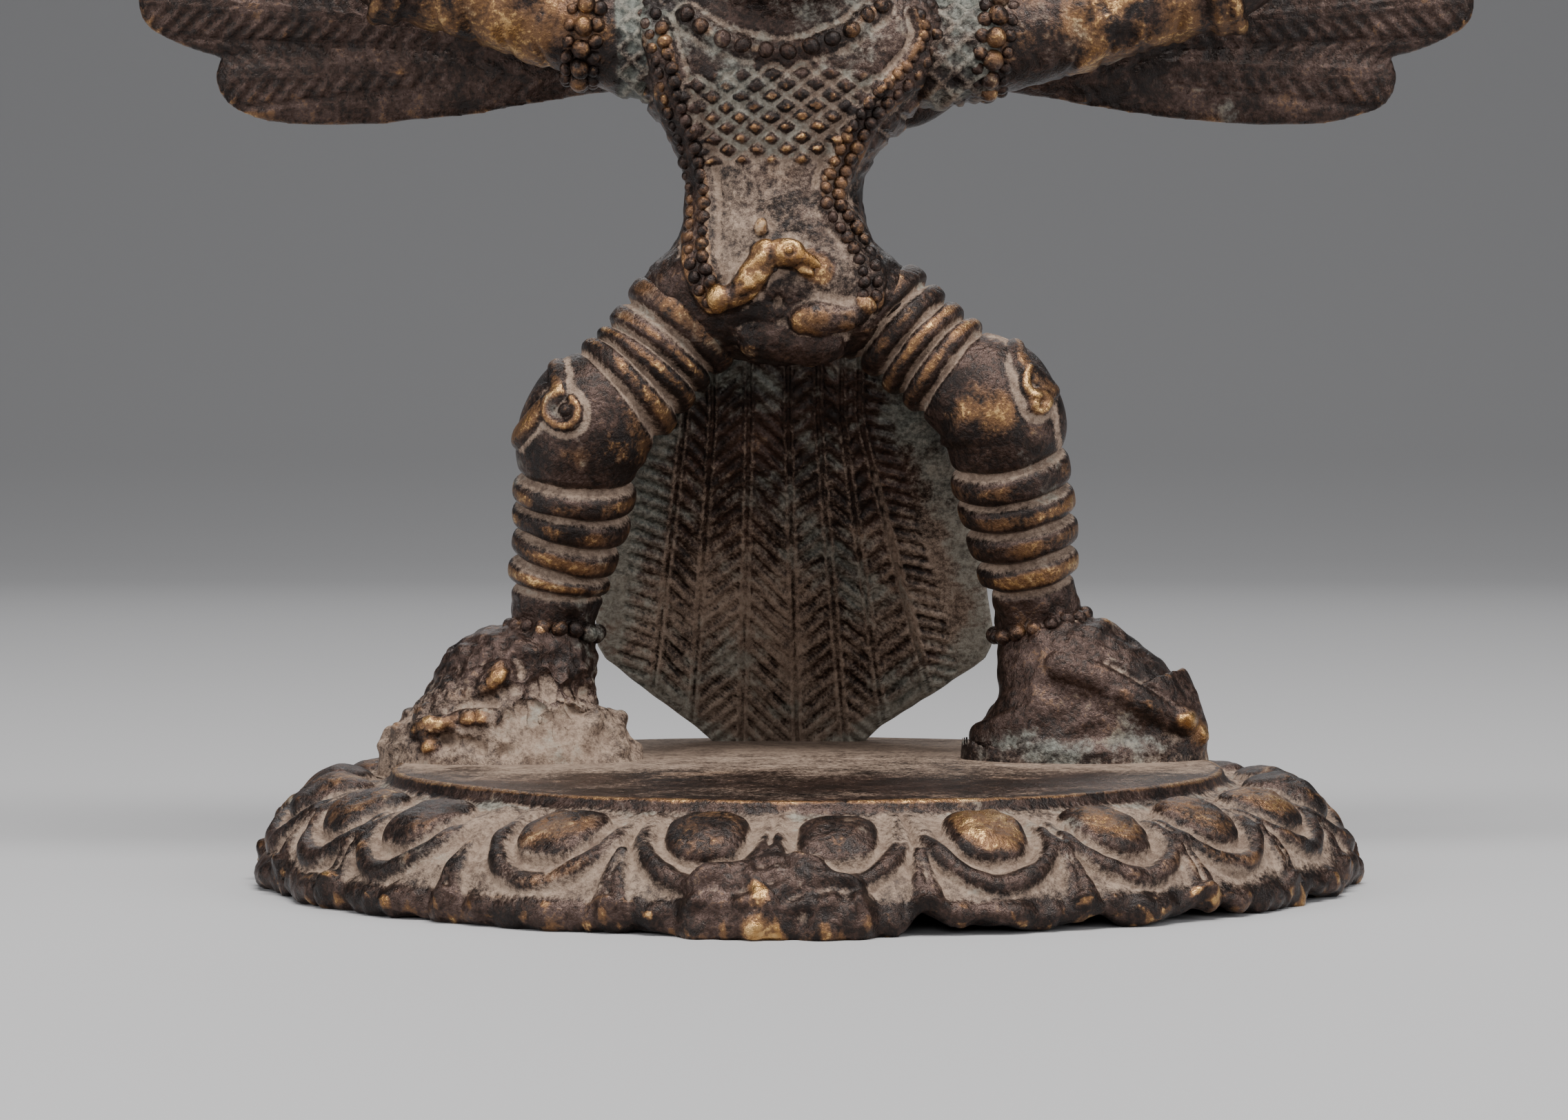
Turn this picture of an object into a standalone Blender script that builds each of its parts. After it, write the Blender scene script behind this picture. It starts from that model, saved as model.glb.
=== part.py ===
"""Garuda statue: a small bronze figure of the winged Garuda, cast in one with a hollow lotus base.

The figure stands in a wide horse stance, facing -Y, with its tail reaching down to the platform behind it.
Everything is modelled in metres with +Z up. The origin is at the centre of the ground under the base.
"""
import math

import bmesh
import bpy
from mathutils import Matrix, Vector

# Driving dimensions of the lotus base, in metres
RIM_RADIUS = 0.060
PLATFORM_RADIUS = 0.045
BASE_HEIGHT = 0.012
BASE_WALL = 0.0024
PLATFORM_WALL = 0.0030
RIM_LAND = 0.0024
PETAL_COUNT = 23

# Driving dimensions of the figure, in metres
FIGURE_HEIGHT = 0.129
WING_SPAN = 0.165
WING_THICKNESS = 0.0030
TAIL_WIDTH = 0.0455
TAIL_THICKNESS = 0.0030

# The figure's own unit: its pose and proportions are shares of its height
FIGURE_UNITS = 129.0
UNIT = FIGURE_HEIGHT / FIGURE_UNITS

# Details of the base
SINK = 0.002
PETAL_OVERHANG = 0.0018
PETAL_TURN = math.radians(2.9)
PETAL_THICKNESS = 0.0021
PETAL_LENGTH_SHARE = 0.58
PETAL_FILL = 0.93
BOSS_RADII = (0.0036, 0.0044, 0.0016)
BOSS_SHIFT = 0.0004
LUMP_RADII = (0.0090, 0.0030, 0.0032)
LUMP_OFFSET = 0.004
LIP_DROP = 0.0026
LIP_EDGE = 0.0006
RIM_FACE = 0.0014
SKIRT_CROWN = 0.0013
RING_STEPS = 2 * PETAL_COUNT

# Where the figure stands, behind the middle of the platform, and how far its leg bands stand out
FIGURE_SETBACK = 10.0
BAND_SWELL = 0.9


def fig(x, y, z):
    """A point of the figure: x and y from the platform's middle and z above its top, in figure units."""
    return Vector((x * UNIT, (y + FIGURE_SETBACK) * UNIT, BASE_HEIGHT + z * UNIT))


def clear_scene():
    for obj in list(bpy.data.objects):
        bpy.data.objects.remove(obj, do_unlink=True)


def new_collection(name):
    collection = bpy.data.collections.new(name)
    bpy.context.scene.collection.children.link(collection)
    return collection


def bronze():
    material = bpy.data.materials.new("Aged bronze")
    material.use_nodes = True
    shader = material.node_tree.nodes["Principled BSDF"]
    shader.inputs["Base Color"].default_value = (0.105, 0.068, 0.045, 1.0)
    shader.inputs["Metallic"].default_value = 0.85
    shader.inputs["Roughness"].default_value = 0.42
    material.diffuse_color = (0.25, 0.17, 0.11, 1.0)
    return material


def link(name, data, collection):
    obj = bpy.data.objects.new(name, data)
    collection.objects.link(obj)
    return obj


def as_solid(obj, weld=True):
    """Replace an object by the closed mesh that its modifiers and placement give."""
    bpy.context.view_layer.update()
    graph = bpy.context.evaluated_depsgraph_get()
    mesh = bpy.data.meshes.new_from_object(obj.evaluated_get(graph))
    mesh.transform(obj.matrix_world)
    if weld:
        shape = bmesh.new()
        shape.from_mesh(mesh)
        bmesh.ops.remove_doubles(shape, verts=shape.verts, dist=0.000001)
        bmesh.ops.recalc_face_normals(shape, faces=shape.faces)
        shape.to_mesh(mesh)
        shape.free()
    name = obj.name
    collection = obj.users_collection[0]
    bpy.data.objects.remove(obj, do_unlink=True)
    return link(name, mesh, collection)


def turned(name, profile, collection, steps=RING_STEPS):
    """A turned solid: the profile runs down the outer side from the axis to the axis."""
    mesh = bpy.data.meshes.new(name)
    edges = [(i, i + 1) for i in range(len(profile) - 1)]
    mesh.from_pydata([(r, 0.0, z) for r, z in profile], edges, [])
    obj = link(name, mesh, collection)
    screw = obj.modifiers.new("Turn", "SCREW")
    screw.axis = "Z"
    screw.steps = steps
    screw.render_steps = steps
    screw.use_merge_vertices = True
    screw.merge_threshold = 0.00001
    return as_solid(obj)


def ball(name, centre, radii, collection, turn=None, segments=10, rings=6):
    """An ellipsoid at a place, its half axes along a turned frame."""
    shape = bmesh.new()
    bmesh.ops.create_uvsphere(shape, u_segments=segments, v_segments=rings, radius=1.0)
    frame = turn.to_4x4() if turn else Matrix.Identity(4)
    stretch = Matrix.Diagonal((*radii, 1.0))
    bmesh.ops.transform(shape, matrix=Matrix.Translation(centre) @ frame @ stretch, verts=shape.verts)
    mesh = bpy.data.meshes.new(name)
    shape.to_mesh(mesh)
    shape.free()
    return link(name, mesh, collection)


def smooth_path(stations, samples):
    """Points and radii read from a smooth curve through a few stations, each (point, radius)."""
    knots = [stations[0]] + list(stations) + [stations[-1]]
    out = []
    for i in range(len(stations) - 1):
        a, b, c, d = (Vector((*knots[i + j][0], knots[i + j][1])) for j in range(4))
        for step in range(samples):
            t = step / samples
            out.append(0.5 * (2 * b + (c - a) * t + (2 * a - 5 * b + 4 * c - d) * t ** 2
                              + (3 * b - a - 3 * c + d) * t ** 3))
    out.append(Vector((*stations[-1][0], stations[-1][1])))
    return [(p.xyz, p.w) for p in out]


def tube(name, path, collection, resolution=3):
    """A round tube along a path of (point, radius) pairs, with filled ends."""
    curve = bpy.data.curves.new(name, "CURVE")
    curve.dimensions = "3D"
    curve.bevel_depth = 1.0
    curve.bevel_resolution = resolution
    curve.use_fill_caps = True
    spline = curve.splines.new("POLY")
    spline.points.add(len(path) - 1)
    for target, (point, radius) in zip(spline.points, path):
        target.co = (*point, 1.0)
        target.radius = radius
    return as_solid(link(name, curve, collection))


def banded(path, bands, swell):
    """Swell a path's radius at each band, given by its distance along the path, with a groove between."""
    marks = []
    for mark, following in zip(bands, bands[1:] + [None]):
        marks.append((mark, swell))
        close = following is not None and following - mark < 4.0 * UNIT
        marks.append((0.5 * (mark + following) if close else mark + 1.4 * UNIT, 0.0))
    out = []
    walked = 0.0
    for i, (point, radius) in enumerate(path):
        if i:
            previous, before = path[i - 1]
            step = (point - previous).length
            for place, extra in marks:
                if walked < place <= walked + step:
                    t = (place - walked) / step
                    out.append((place, previous.lerp(point, t), before + (radius - before) * t + extra))
            walked += step
        clear = all(abs(walked - place) > 1.3 * UNIT for place, extra in marks)
        if clear or i in (0, len(path) - 1):
            out.append((walked, point, radius))
    out.sort(key=lambda item: item[0])
    return [(point, radius) for place, point, radius in out]


def loft(name, sections, collection, sides=14):
    """A closed solid through level oval sections, each (centre, half width, half depth)."""
    shape = bmesh.new()
    rings = []
    for centre, half_width, half_depth in sections:
        ring = []
        for k in range(sides):
            angle = 2 * math.pi * k / sides
            offset = Vector((half_width * math.cos(angle), half_depth * math.sin(angle), 0.0))
            ring.append(shape.verts.new(centre + offset))
        rings.append(ring)
    for low, high in zip(rings, rings[1:]):
        for k in range(sides):
            shape.faces.new((low[k], low[(k + 1) % sides], high[(k + 1) % sides], high[k]))
    shape.faces.new(list(reversed(rings[0])))
    shape.faces.new(rings[-1])
    mesh = bpy.data.meshes.new(name)
    shape.to_mesh(mesh)
    shape.free()
    return link(name, mesh, collection)


def plate(name, outline, thickness, place, collection):
    """A flat plate: a closed outline in its own XY plane, centred on it, then put in its place."""
    curve = bpy.data.curves.new(name, "CURVE")
    curve.dimensions = "2D"
    curve.fill_mode = "BOTH"
    curve.extrude = thickness / 2
    spline = curve.splines.new("POLY")
    spline.points.add(len(outline) - 1)
    spline.use_cyclic_u = True
    for target, (x, y) in zip(spline.points, outline):
        target.co = (x, y, 0.0, 1.0)
    obj = link(name, curve, collection)
    obj.matrix_world = place
    return as_solid(obj)


def combine(body, others, operation):
    """Join the other solids to a body, or cut them out of it, and remove them."""
    group = bpy.data.collections.new("Operands")
    for other in others:
        group.objects.link(other)
    boolean = body.modifiers.new("Combine", "BOOLEAN")
    boolean.operation = operation
    boolean.operand_type = "COLLECTION"
    boolean.collection = group
    boolean.solver = "EXACT"
    result = as_solid(body, weld=False)
    for other in others:
        bpy.data.objects.remove(other, do_unlink=True)
    bpy.data.collections.remove(group)
    return result


def skirt_top_radius():
    return PLATFORM_RADIUS + 0.0012


def skirt_foot_radius():
    return RIM_RADIUS - PETAL_OVERHANG


def skirt_slope():
    run = skirt_foot_radius() - skirt_top_radius()
    fall = BASE_HEIGHT - LIP_DROP - RIM_FACE
    return math.atan2(fall, run)


def base_solid(collection):
    """The lotus base before it is hollowed: a flat disc with a worn lip over a skirt that swells."""
    top, bottom = skirt_top_radius(), skirt_foot_radius()
    middle = top + 0.5 * (bottom - top)
    middle_height = 0.5 * (BASE_HEIGHT - LIP_DROP + RIM_FACE) + SKIRT_CROWN
    profile = [
        (0.0, BASE_HEIGHT),
        (PLATFORM_RADIUS - LIP_EDGE, BASE_HEIGHT),
        (PLATFORM_RADIUS, BASE_HEIGHT - LIP_EDGE),
        (PLATFORM_RADIUS - LIP_EDGE, BASE_HEIGHT - 0.6 * LIP_DROP),
        (top, BASE_HEIGHT - LIP_DROP),
        (middle, middle_height),
        (bottom, RIM_FACE),
        (skirt_foot_radius(), -SINK),
        (0.0, -SINK),
    ]
    return turned("garuda_statue", profile, collection)


def base_cavity(collection):
    """The open hollow under the base, a wall's thickness inside the skirt and the platform."""
    slope = skirt_slope()
    wall_drop = BASE_WALL / math.cos(slope)
    foot = skirt_foot_radius() - RIM_LAND
    ceiling = BASE_HEIGHT - PLATFORM_WALL
    foot_height = RIM_FACE + RIM_LAND * math.tan(slope) - wall_drop
    shoulder = foot - (ceiling - foot_height) / math.tan(slope)
    profile = [
        (0.0, ceiling),
        (shoulder, ceiling),
        (foot, foot_height),
        (foot, -2 * SINK),
        (0.0, -2 * SINK),
    ]
    return turned("cavity", profile, collection)


def petals(collection):
    """A ring of lotus petals on the skirt, each a rounded leaf with a raised boss."""
    slope = skirt_slope()
    lean = Matrix.Rotation(slope, 3, "Y")
    length = PETAL_LENGTH_SHARE * (skirt_foot_radius() - skirt_top_radius()) / math.cos(slope)
    reach = math.hypot(length * math.cos(slope), PETAL_THICKNESS * math.sin(slope))
    leaf_radius = RIM_RADIUS - reach
    leaf_height = RIM_FACE + (skirt_foot_radius() - leaf_radius) * math.tan(slope)
    half_gap = math.pi * leaf_radius / PETAL_COUNT
    normal = Vector((math.sin(slope), 0.0, math.cos(slope)))
    made = []
    for k in range(PETAL_COUNT):
        around = Matrix.Rotation(PETAL_TURN - math.pi / 2 + 2 * math.pi * k / PETAL_COUNT, 3, "Z")
        leaf = around @ Vector((leaf_radius, 0.0, leaf_height))
        made.append(ball(f"leaf_{k}", leaf, (length, PETAL_FILL * half_gap, PETAL_THICKNESS), collection,
                         around @ lean, segments=8, rings=4))
        above = Vector((leaf_radius + BOSS_SHIFT, 0.0, leaf_height)) + 1.1 * PETAL_THICKNESS * normal
        boss = around @ above
        made.append(ball(f"boss_{k}", boss, BOSS_RADII, collection, around @ lean, segments=6, rings=4))
    return made


def foot(name, levels, collection):
    """A broad foot that flares from the ankle down into the platform: (x, y, z, half width, half depth)."""
    sections = [(fig(x, y, z), width * UNIT, depth * UNIT) for x, y, z, width, depth in levels]
    return loft(name, list(reversed(sections)), collection, sides=16)


def legs(collection):
    """Two bent legs in a horse stance, banded on the thigh and the shin, with feet turned out."""
    left = [(fig(-9.5, 0.5, 53.0), 7.6 * UNIT), (fig(-14.9, -0.8, 47.0), 6.2 * UNIT),
            (fig(-18.4, -1.7, 42.6), 6.1 * UNIT), (fig(-23.6, -2.7, 37.6), 7.4 * UNIT),
            (fig(-25.3, -2.5, 33.0), 6.8 * UNIT), (fig(-25.9, -1.2, 27.8), 6.2 * UNIT),
            (fig(-27.4, 0.4, 20.8), 5.3 * UNIT), (fig(-28.0, 1.0, 17.5), 5.0 * UNIT),
            (fig(-28.2, 2.0, 9.0), 5.3 * UNIT)]
    right = [(fig(5.0, 0.5, 52.5), 7.2 * UNIT), (fig(10.2, -0.6, 47.8), 5.8 * UNIT),
             (fig(14.3, -1.5, 44.2), 5.7 * UNIT), (fig(19.8, -2.6, 40.0), 7.0 * UNIT),
             (fig(21.8, -2.5, 35.5), 6.7 * UNIT), (fig(22.9, -1.0, 29.8), 6.0 * UNIT),
             (fig(24.4, 0.8, 22.2), 5.3 * UNIT), (fig(25.1, 1.6, 18.6), 4.9 * UNIT),
             (fig(26.8, 3.4, 9.5), 5.2 * UNIT)]
    left_bands = [8.4, 11.5, 13.9, 16.7, 30.0, 33.2, 36.5, 39.6, 43.5]
    right_bands = [7.2, 9.5, 12.3, 14.7, 28.8, 32.5, 36.0, 39.6, 44.7]
    made = []
    for name, stations, bands in (("leg_left", left, left_bands), ("leg_right", right, right_bands)):
        path = banded(smooth_path(stations, 2), [mark * UNIT for mark in bands], BAND_SWELL * UNIT)
        made.append(tube(name, path, collection, resolution=2))
    left_foot = [(-28.2, 1.5, 14.2, 4.7, 4.7), (-28.9, 1.0, 11.8, 6.2, 5.7), (-30.3, 0.4, 9.4, 8.4, 6.7),
                 (-31.4, -0.1, 7.0, 10.1, 7.3), (-31.7, -0.6, 4.6, 12.0, 7.9), (-32.0, -1.0, 2.0, 13.8, 8.8),
                 (-32.0, -1.2, -1.4, 14.6, 9.2)]
    right_foot = [(25.8, 2.2, 14.2, 4.9, 4.9), (26.7, 1.8, 12.2, 6.3, 6.0), (28.2, 1.2, 9.8, 8.5, 7.0),
                  (29.3, 0.8, 7.2, 10.8, 7.6), (29.9, 0.4, 5.0, 12.4, 7.7), (30.8, 0.0, 2.8, 13.4, 8.0),
                  (30.8, 0.0, -1.4, 13.8, 8.3)]
    made.append(foot("foot_left", left_foot, collection))
    made.append(foot("foot_right", right_foot, collection))
    for name, x, y, z in (("left", -30.2, -6.4, 38.6), ("right", 25.4, -6.4, 40.4)):
        made.append(ball(f"knee_leaf_{name}", fig(x, y, z), (2.2 * UNIT, 2.2 * UNIT, 4.2 * UNIT), collection,
                         segments=8, rings=4))
    return made


def torso(collection):
    """An hourglass body: rounded hips, a narrow waist leaning to one side, a broad chest."""
    shape = [(43.4, -1.3, 6.0, 5.6), (46.4, -1.8, 12.6, 8.4), (50.4, -2.8, 14.9, 9.8),
             (54.6, -3.3, 13.6, 9.8), (58.4, -3.8, 10.7, 8.8), (62.0, -3.9, 9.8, 8.0),
             (66.0, -3.4, 11.6, 8.2), (71.0, -2.7, 15.0, 9.0), (76.5, -2.3, 19.2, 9.6),
             (81.5, -2.2, 21.0, 9.0), (85.5, -2.2, 18.4, 8.2), (88.5, -2.2, 11.0, 7.4)]
    sections = [(fig(x, 0.0, z), width * UNIT, depth * UNIT) for z, x, width, depth in shape]
    made = [loft("torso", sections, collection)]
    neck = [(fig(-2.2, 0.0, 80.0), 8.6 * UNIT), (fig(-2.2, -1.0, 90.0), 8.0 * UNIT),
            (fig(-2.2, -2.0, 97.0), 8.4 * UNIT)]
    made.append(tube("neck", smooth_path(neck, 1), collection))
    return made


def garland(collection):
    """Two scaly serpent bodies that hang from the shoulders and curl in over the belly."""
    left = [fig(-18.5, -8.0, 82.0), fig(-17.0, -9.4, 76.0), fig(-14.6, -9.2, 70.0), fig(-12.6, -7.6, 63.0),
            fig(-12.6, -8.2, 57.0), fig(-11.0, -9.8, 51.0), fig(-7.0, -10.8, 50.4), fig(-4.0, -11.0, 54.4)]
    right = [fig(16.0, -8.0, 82.0), fig(13.6, -9.4, 76.0), fig(9.6, -9.2, 70.0), fig(5.4, -7.8, 63.0),
             fig(6.2, -8.8, 57.0), fig(7.0, -9.8, 51.6), fig(3.6, -10.8, 49.4), fig(-1.0, -10.8, 50.0)]
    made = []
    for name, points in (("garland_left", left), ("garland_right", right)):
        path = smooth_path([(point, 1.5 * UNIT) for point in points], 2)
        made.append(tube(name, path, collection, resolution=1))
    made.append(ball("serpent_head", fig(-2.2, -11.0, 55.6), (2.9 * UNIT, 2.2 * UNIT, 2.4 * UNIT),
                     collection))
    beak = [(fig(-0.6, -11.6, 55.6), 1.5 * UNIT), (fig(2.6, -11.4, 54.2), 0.6 * UNIT)]
    made.append(tube("serpent_snout", beak, collection, resolution=1))
    necklace = []
    for k in range(9):
        angle = math.pi * k / 8
        necklace.append((fig(-2.2 + 12.0 * math.cos(angle), -4.6 - 5.2 * math.sin(angle),
                             83.6 - 8.0 * math.sin(angle)), 1.1 * UNIT))
    made.append(tube("necklace", necklace, collection, resolution=1))
    return made


def arms(collection):
    """Arms held out and up a little, bent up at the elbow, with open hands."""
    made = []
    for name, side, shoulder_x, drop in (("left", -1, -19.0, 0.0), ("right", 1, 14.6, -1.2)):
        elbow_x = 47.5
        stations = [(fig(shoulder_x, 0.0, 79.5 + drop), 6.6 * UNIT),
                    (fig(side * 27.5, -1.0, 81.4 + drop), 5.2 * UNIT),
                    (fig(side * 37.0, -2.0, 83.8 + drop), 4.9 * UNIT),
                    (fig(side * elbow_x, -2.6, 87.0 + drop), 4.4 * UNIT),
                    (fig(side * 53.5, -4.0, 94.0 + drop), 3.9 * UNIT),
                    (fig(side * 55.5, -6.0, 101.0 + drop), 3.3 * UNIT)]
        made.append(tube(f"arm_{name}", smooth_path(stations, 2), collection, resolution=2))
        for k in range(3):
            bead = fig(-24.2 if side < 0 else 20.2, -4.6 - 0.4 * k, 77.0 + 2.9 * k + drop)
            made.append(ball(f"armlet_{name}_{k}", bead, (1.4 * UNIT, 1.4 * UNIT, 1.5 * UNIT), collection,
                             segments=6, rings=4))
        ring = fig(side * 45.2, -6.0, 84.0 + drop)
        made.append(ball(f"bracelet_{name}", ring, (2.3 * UNIT, 1.8 * UNIT, 2.3 * UNIT), collection,
                         segments=8, rings=4))
        palm = fig(side * 55.8, -6.6, 105.0 + drop)
        made.append(ball(f"palm_{name}", palm, (4.0 * UNIT, 2.2 * UNIT, 4.6 * UNIT), collection,
                         segments=8, rings=4))
        for k in range(4):
            spread = (k - 1.5) * 2.0
            root = palm + Vector((spread, 0.0, 2.0)) * UNIT
            tip = palm + Vector((1.5 * spread, -1.4, 8.6 - 0.5 * abs(spread))) * UNIT
            made.append(tube(f"finger_{name}_{k}", [(root, 1.15 * UNIT), (tip, 0.8 * UNIT)], collection, 1))
        thumb = [(palm + Vector((-side * 2.0, 0.0, -1.0)) * UNIT, 1.3 * UNIT),
                 (palm + Vector((-side * 6.0, -1.6, 2.6)) * UNIT, 0.9 * UNIT)]
        made.append(tube(f"thumb_{name}", thumb, collection, 1))
    return made


FEATHERS = 7
WING_ROOT_X = 12.0
WING_ROOT_Z = 78.0
WING_DEPTH = 7.0


def feather_angle(k):
    """The fan opens from just under level to a steep top feather."""
    return math.radians(-2.0 + 8.3 * k)


def feather_length(k):
    """Feather lengths rise to the middle of the fan and fall again, in figure units."""
    return 54.5 + 10.4 * k - 1.37 * k ** 2


def fan_outline(reach, half_angle, notch):
    """The outline of a fan of feathers round its root: a blunt tip to each feather, and a notch between."""
    points = [(0.0, -6.6 * UNIT), (24.0 * UNIT, -9.6 * UNIT)]
    for k in range(FEATHERS):
        length = reach * feather_length(k)
        middle = feather_angle(k)
        for turn, share in ((-0.96, notch), (-0.62, 0.955), (0.0, 1.0), (0.66, 0.94)):
            angle = middle + turn * half_angle
            points.append((share * length * math.cos(angle), share * length * math.sin(angle)))
    top = feather_angle(FEATHERS - 1) + half_angle
    points.append((0.5 * length * math.cos(top), 0.5 * length * math.sin(top)))
    points.append((-4.0 * UNIT, 12.0 * UNIT))
    return points


def wings(collection):
    """Two fans of long feathers behind the arms, with a shorter fan of coverts on each."""
    widest = max(feather_length(k) * math.cos(feather_angle(k)) for k in range(FEATHERS))
    stretch = (WING_SPAN / 2 - WING_ROOT_X * UNIT) / widest
    half_angle = math.radians(4.15)
    made = []
    for side in (-1, 1):
        across = Vector((side, 0.0, 0.0))
        upward = Vector((0.0, 0.0, 1.0))
        for name, share, forward in (("primaries", 1.0, 0.0), ("coverts", 0.58, 1.3 * UNIT)):
            place = Matrix((across, upward, across.cross(upward))).transposed().to_4x4()
            place.translation = fig(0.0, WING_DEPTH, WING_ROOT_Z) - Vector((0.0, forward, 0.0))
            place.translation.x = side * WING_ROOT_X * UNIT
            outline = fan_outline(share * stretch, half_angle, 0.86)
            made.append(plate(f"{name}_{side}", outline, WING_THICKNESS, place, collection))
        covert = fig(side * 21.0, WING_DEPTH - 1.0, 84.0)
        made.append(ball(f"wing_root_{side}", covert, (13.5 * UNIT, 4.0 * UNIT, 10.0 * UNIT), collection,
                         segments=10, rings=5))
        shoulder = [(fig(side * 6.0, WING_DEPTH - 4.0, 80.0), 5.0 * UNIT),
                    (fig(side * 20.0, WING_DEPTH - 1.0, 84.0), 4.0 * UNIT)]
        made.append(tube(f"wing_bridge_{side}", shoulder, collection, 2))
    return made


def tail(collection):
    """A broad leaf of tail feathers that leans back from the rump to the rear of the platform."""
    half = TAIL_WIDTH / 2
    foot_y = 28.0
    top = fig(-1.2, 6.0, 45.0)
    low = fig(-1.2, foot_y, 0.4)
    span = (top - low).length
    outline = [(-0.42, -0.02), (0.40, -0.02), (0.82, 0.12), (1.0, 0.28), (0.97, 0.44), (0.84, 0.62),
               (0.68, 0.80), (0.46, 0.98), (0.22, 1.08), (-0.22, 1.08), (-0.46, 0.98), (-0.68, 0.80),
               (-0.84, 0.62), (-0.97, 0.44), (-1.0, 0.28), (-0.84, 0.12)]
    points = [(x * half, y * span) for x, y in outline]
    upward = (top - low).normalized()
    across = Vector((1.0, 0.0, 0.0))
    place = Matrix((across, upward, across.cross(upward))).transposed().to_4x4()
    place.translation = low
    made = [plate("tail", points, TAIL_THICKNESS, place, collection)]
    made.append(ball("tail_lug", fig(-1.2, foot_y, -0.2), (0.56 * half, 4.4 * UNIT, 2.6 * UNIT), collection,
                     segments=10, rings=4))
    rump = [(fig(-2.6, 2.0, 50.0), 7.4 * UNIT), (fig(-1.8, 6.6, 44.6), 4.2 * UNIT)]
    made.append(tube("rump", rump, collection, 3))
    return made


def head(collection):
    """A bird's head: hooked beak, round eyes under heavy brows, leaf ears and a low pointed crown."""
    centre = fig(-2.2, -3.0, 96.0)
    made = [ball("skull", centre, (10.0 * UNIT, 10.4 * UNIT, 11.0 * UNIT), collection, segments=12, rings=7)]
    beak = [(fig(-2.2, -10.0, 96.4), 4.4 * UNIT), (fig(-2.2, -15.4, 96.2), 3.4 * UNIT),
            (fig(-2.2, -18.8, 93.6), 2.2 * UNIT), (fig(-2.2, -19.4, 90.0), 0.9 * UNIT)]
    made.append(tube("beak", smooth_path(beak, 2), collection, 3))
    jaw = [(fig(-2.2, -9.0, 91.2), 3.4 * UNIT), (fig(-2.2, -15.4, 90.6), 1.6 * UNIT)]
    made.append(tube("lower_beak", jaw, collection, 2))
    for side in (-1, 1):
        eye = fig(-2.2 + side * 4.6, -11.2, 98.6)
        made.append(ball(f"eye_{side}", eye, (2.5 * UNIT, 2.0 * UNIT, 2.3 * UNIT), collection,
                         segments=8, rings=4))
        brow = [(fig(-2.2 + side * 1.2, -13.4, 99.6), 1.1 * UNIT),
                (fig(-2.2 + side * 4.8, -12.0, 102.4), 1.5 * UNIT),
                (fig(-2.2 + side * 9.0, -7.0, 101.8), 0.9 * UNIT)]
        made.append(tube(f"brow_{side}", smooth_path(brow, 2), collection, 1))
        ear = fig(-2.2 + side * 10.6, -1.6, 96.0)
        tilt = Matrix.Rotation(side * 0.25, 3, "Y")
        made.append(ball(f"ear_{side}", ear, (2.0 * UNIT, 2.6 * UNIT, 6.0 * UNIT), collection, tilt,
                         segments=6, rings=5))
    made.append(crown_band("crown_band", collection))
    for k, spread in enumerate((-64, -32, 0, 32, 64)):
        turn = Matrix.Rotation(math.radians(spread), 3, "Z")
        height = 9.0 if spread == 0 else 7.0
        outward = turn @ Vector((0.0, -9.8, 0.0))
        leaf = fig(-2.2 + outward.x, -2.8 + outward.y, 108.0)
        made.append(ball(f"crown_leaf_{k}", leaf, (3.0 * UNIT, 1.5 * UNIT, height * UNIT), collection, turn,
                         segments=6, rings=4))
    knot = [(fig(-2.2, -2.0, 104.0), 7.2 * UNIT), (fig(-2.2, -2.0, 109.0), 6.6 * UNIT),
            (fig(-2.2, -2.0, 114.0), 4.6 * UNIT), (fig(-2.2, -2.0, 118.0), 2.6 * UNIT),
            (fig(-2.2, -2.0, 121.0), 1.8 * UNIT), (fig(-2.2, -2.0, 124.6), 2.6 * UNIT),
            (fig(-2.2, -2.0, 127.4), 1.5 * UNIT), (fig(-2.2, -2.0, FIGURE_UNITS), 0.4 * UNIT)]
    made.append(tube("topknot", knot, collection, 2))
    return made


def crown_band(name, collection):
    """The crown's band: a short oval drum round the brow."""
    shape = bmesh.new()
    bmesh.ops.create_cone(shape, cap_ends=True, segments=18, radius1=1.0, radius2=1.04, depth=1.0)
    stretch = Matrix.Diagonal((10.6 * UNIT, 11.0 * UNIT, 3.6 * UNIT, 1.0))
    place = Matrix.Translation(fig(-2.2, -2.8, 103.2)) @ stretch
    bmesh.ops.transform(shape, matrix=place, verts=shape.verts)
    mesh = bpy.data.meshes.new(name)
    shape.to_mesh(mesh)
    shape.free()
    return link(name, mesh, collection)


def ground_block(collection):
    """A block under the ground, which cuts the rim off flat."""
    shape = bmesh.new()
    bmesh.ops.create_cube(shape, size=1.0)
    size = 3 * RIM_RADIUS
    place = Matrix.Translation((0.0, 0.0, -5 * SINK)) @ Matrix.Diagonal((size, size, 10 * SINK, 1.0))
    bmesh.ops.transform(shape, matrix=place, verts=shape.verts)
    mesh = bpy.data.meshes.new("ground")
    shape.to_mesh(mesh)
    shape.free()
    return link("ground", mesh, collection)


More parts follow.
